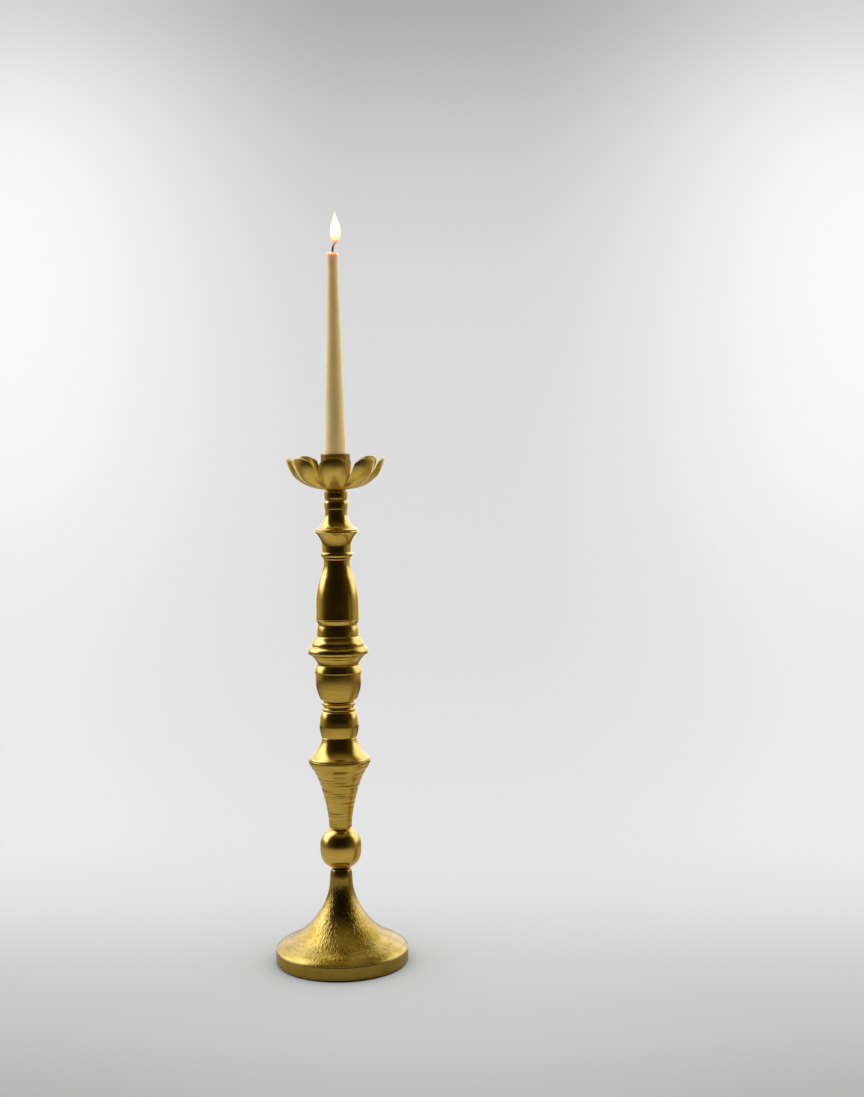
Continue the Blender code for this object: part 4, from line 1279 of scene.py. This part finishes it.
# name, place, power in watts
PANELS = [
    ("panel_left", (-0.85, 0.22, 0.70), 5.2),
    ("panel_right", (0.85, 0.26, 0.70), 5.2),
    ("panel_front", (0.10, -1.5, 0.95), 6.4),
]


def add_panels():
    """Soft panels round the candle; only the wax takes their light."""
    lit = bpy.data.collections.new("lit_by_panels")
    lit.objects.link(bpy.data.objects["candle_fine"])
    for name, place, energy in PANELS:
        lamp = bpy.data.lights.new(name, "AREA")
        lamp.shape = "RECTANGLE"
        lamp.size = 0.5
        lamp.size_y = 0.7
        lamp.energy = energy
        lamp.color = (0.98, 0.98, 1.0)
        obj = bpy.data.objects.new(name, lamp)
        obj.location = place
        obj.rotation_mode = "QUATERNION"
        obj.rotation_quaternion = (Vector(place) - PANEL_TARGET).to_track_quat("Z", "Y")
        obj.visible_camera = False
        obj.visible_glossy = False
        obj.light_linking.receiver_collection = lit
        scene.collection.objects.link(obj)


def floor_material():
    """The camera sees the backdrop with contact shade; the brass reflects a warm sheet with a painted
    pool of light and a painted reflection of a neighbouring brass piece.
    """
    material, graph = new_material("pale_floor")
    x, y, _ = graph.coordinates().xyz()
    reach = (x * x + y * y).math("SQRT")
    # painted pool of light: the reflected floor is pale near the candlestick and fades to dark brown
    # further out
    sheet = reach.span(0.26, 1.20).mix((0.86, 0.805, 0.545), (0.10, 0.075, 0.03))
    # a painted reflection of a neighbouring brass candlestick: a dark, warm wedge of floor to the
    # right
    turn = heading(x, y)
    wedge = turn.span(76.0, 90.0) * turn.span(118.0, 102.0)
    sheet = (wedge * reach.span(0.08, 0.20, 0.0, 0.85)).mix(sheet, (0.46, 0.26, 0.05))
    paper = graph.add("ShaderNodeBsdfDiffuse", {"Color": sheet})
    occlusion = graph.add("ShaderNodeAmbientOcclusion", {"Distance": 0.16}, output="AO",
                          samples=8, inside=False)
    shade = occlusion.span(0.0, 1.0, 0.10, 1.0, smooth=False)
    shade_color = graph.vector(shade, shade, shade.math("POWER", 1.06))
    pale = backdrop(graph).tinted(shade_color)
    seen = graph.add("ShaderNodeEmission", {"Color": pale, "Strength": 1.0})
    graph.finish(graph.add("ShaderNodeMixShader", {0: graph.camera_ray(), 1: paper, 2: seen}))
    return material


def build_floor():
    """A disc just below the felt."""
    finish = floor_material()
    disc = bmesh.new()
    bmesh.ops.create_circle(disc, cap_ends=True, segments=96, radius=1.35)
    mesh = bpy.data.meshes.new("floor")
    disc.to_mesh(mesh)
    disc.free()
    mesh.materials.append(finish)
    floor = bpy.data.objects.new("floor", mesh)
    scene.collection.objects.link(floor)
    floor.location = (0.0, 0.0, cad_lo.z - 0.0002)


def add_camera():
    """In front of the candlestick, looking slightly down."""
    camera = bpy.data.cameras.new("camera")
    camera.sensor_width = 36.0
    camera.lens = 55.788514129
    obj = bpy.data.objects.new("camera", camera)
    scene.collection.objects.link(obj)
    obj.rotation_mode = "QUATERNION"
    obj.location = (0.1029, -1.8275, 0.615)
    tilt = Matrix.Rotation(math.radians(85.0), 3, "X")
    roll = Matrix.Rotation(math.radians(-0.53), 3, "Z")
    obj.rotation_quaternion = (tilt @ roll).to_quaternion()
    scene.camera = obj


build_world()
add_panels()
build_floor()
add_camera()
scene.view_settings.view_transform = "Standard"
scene.view_settings.look = "None"
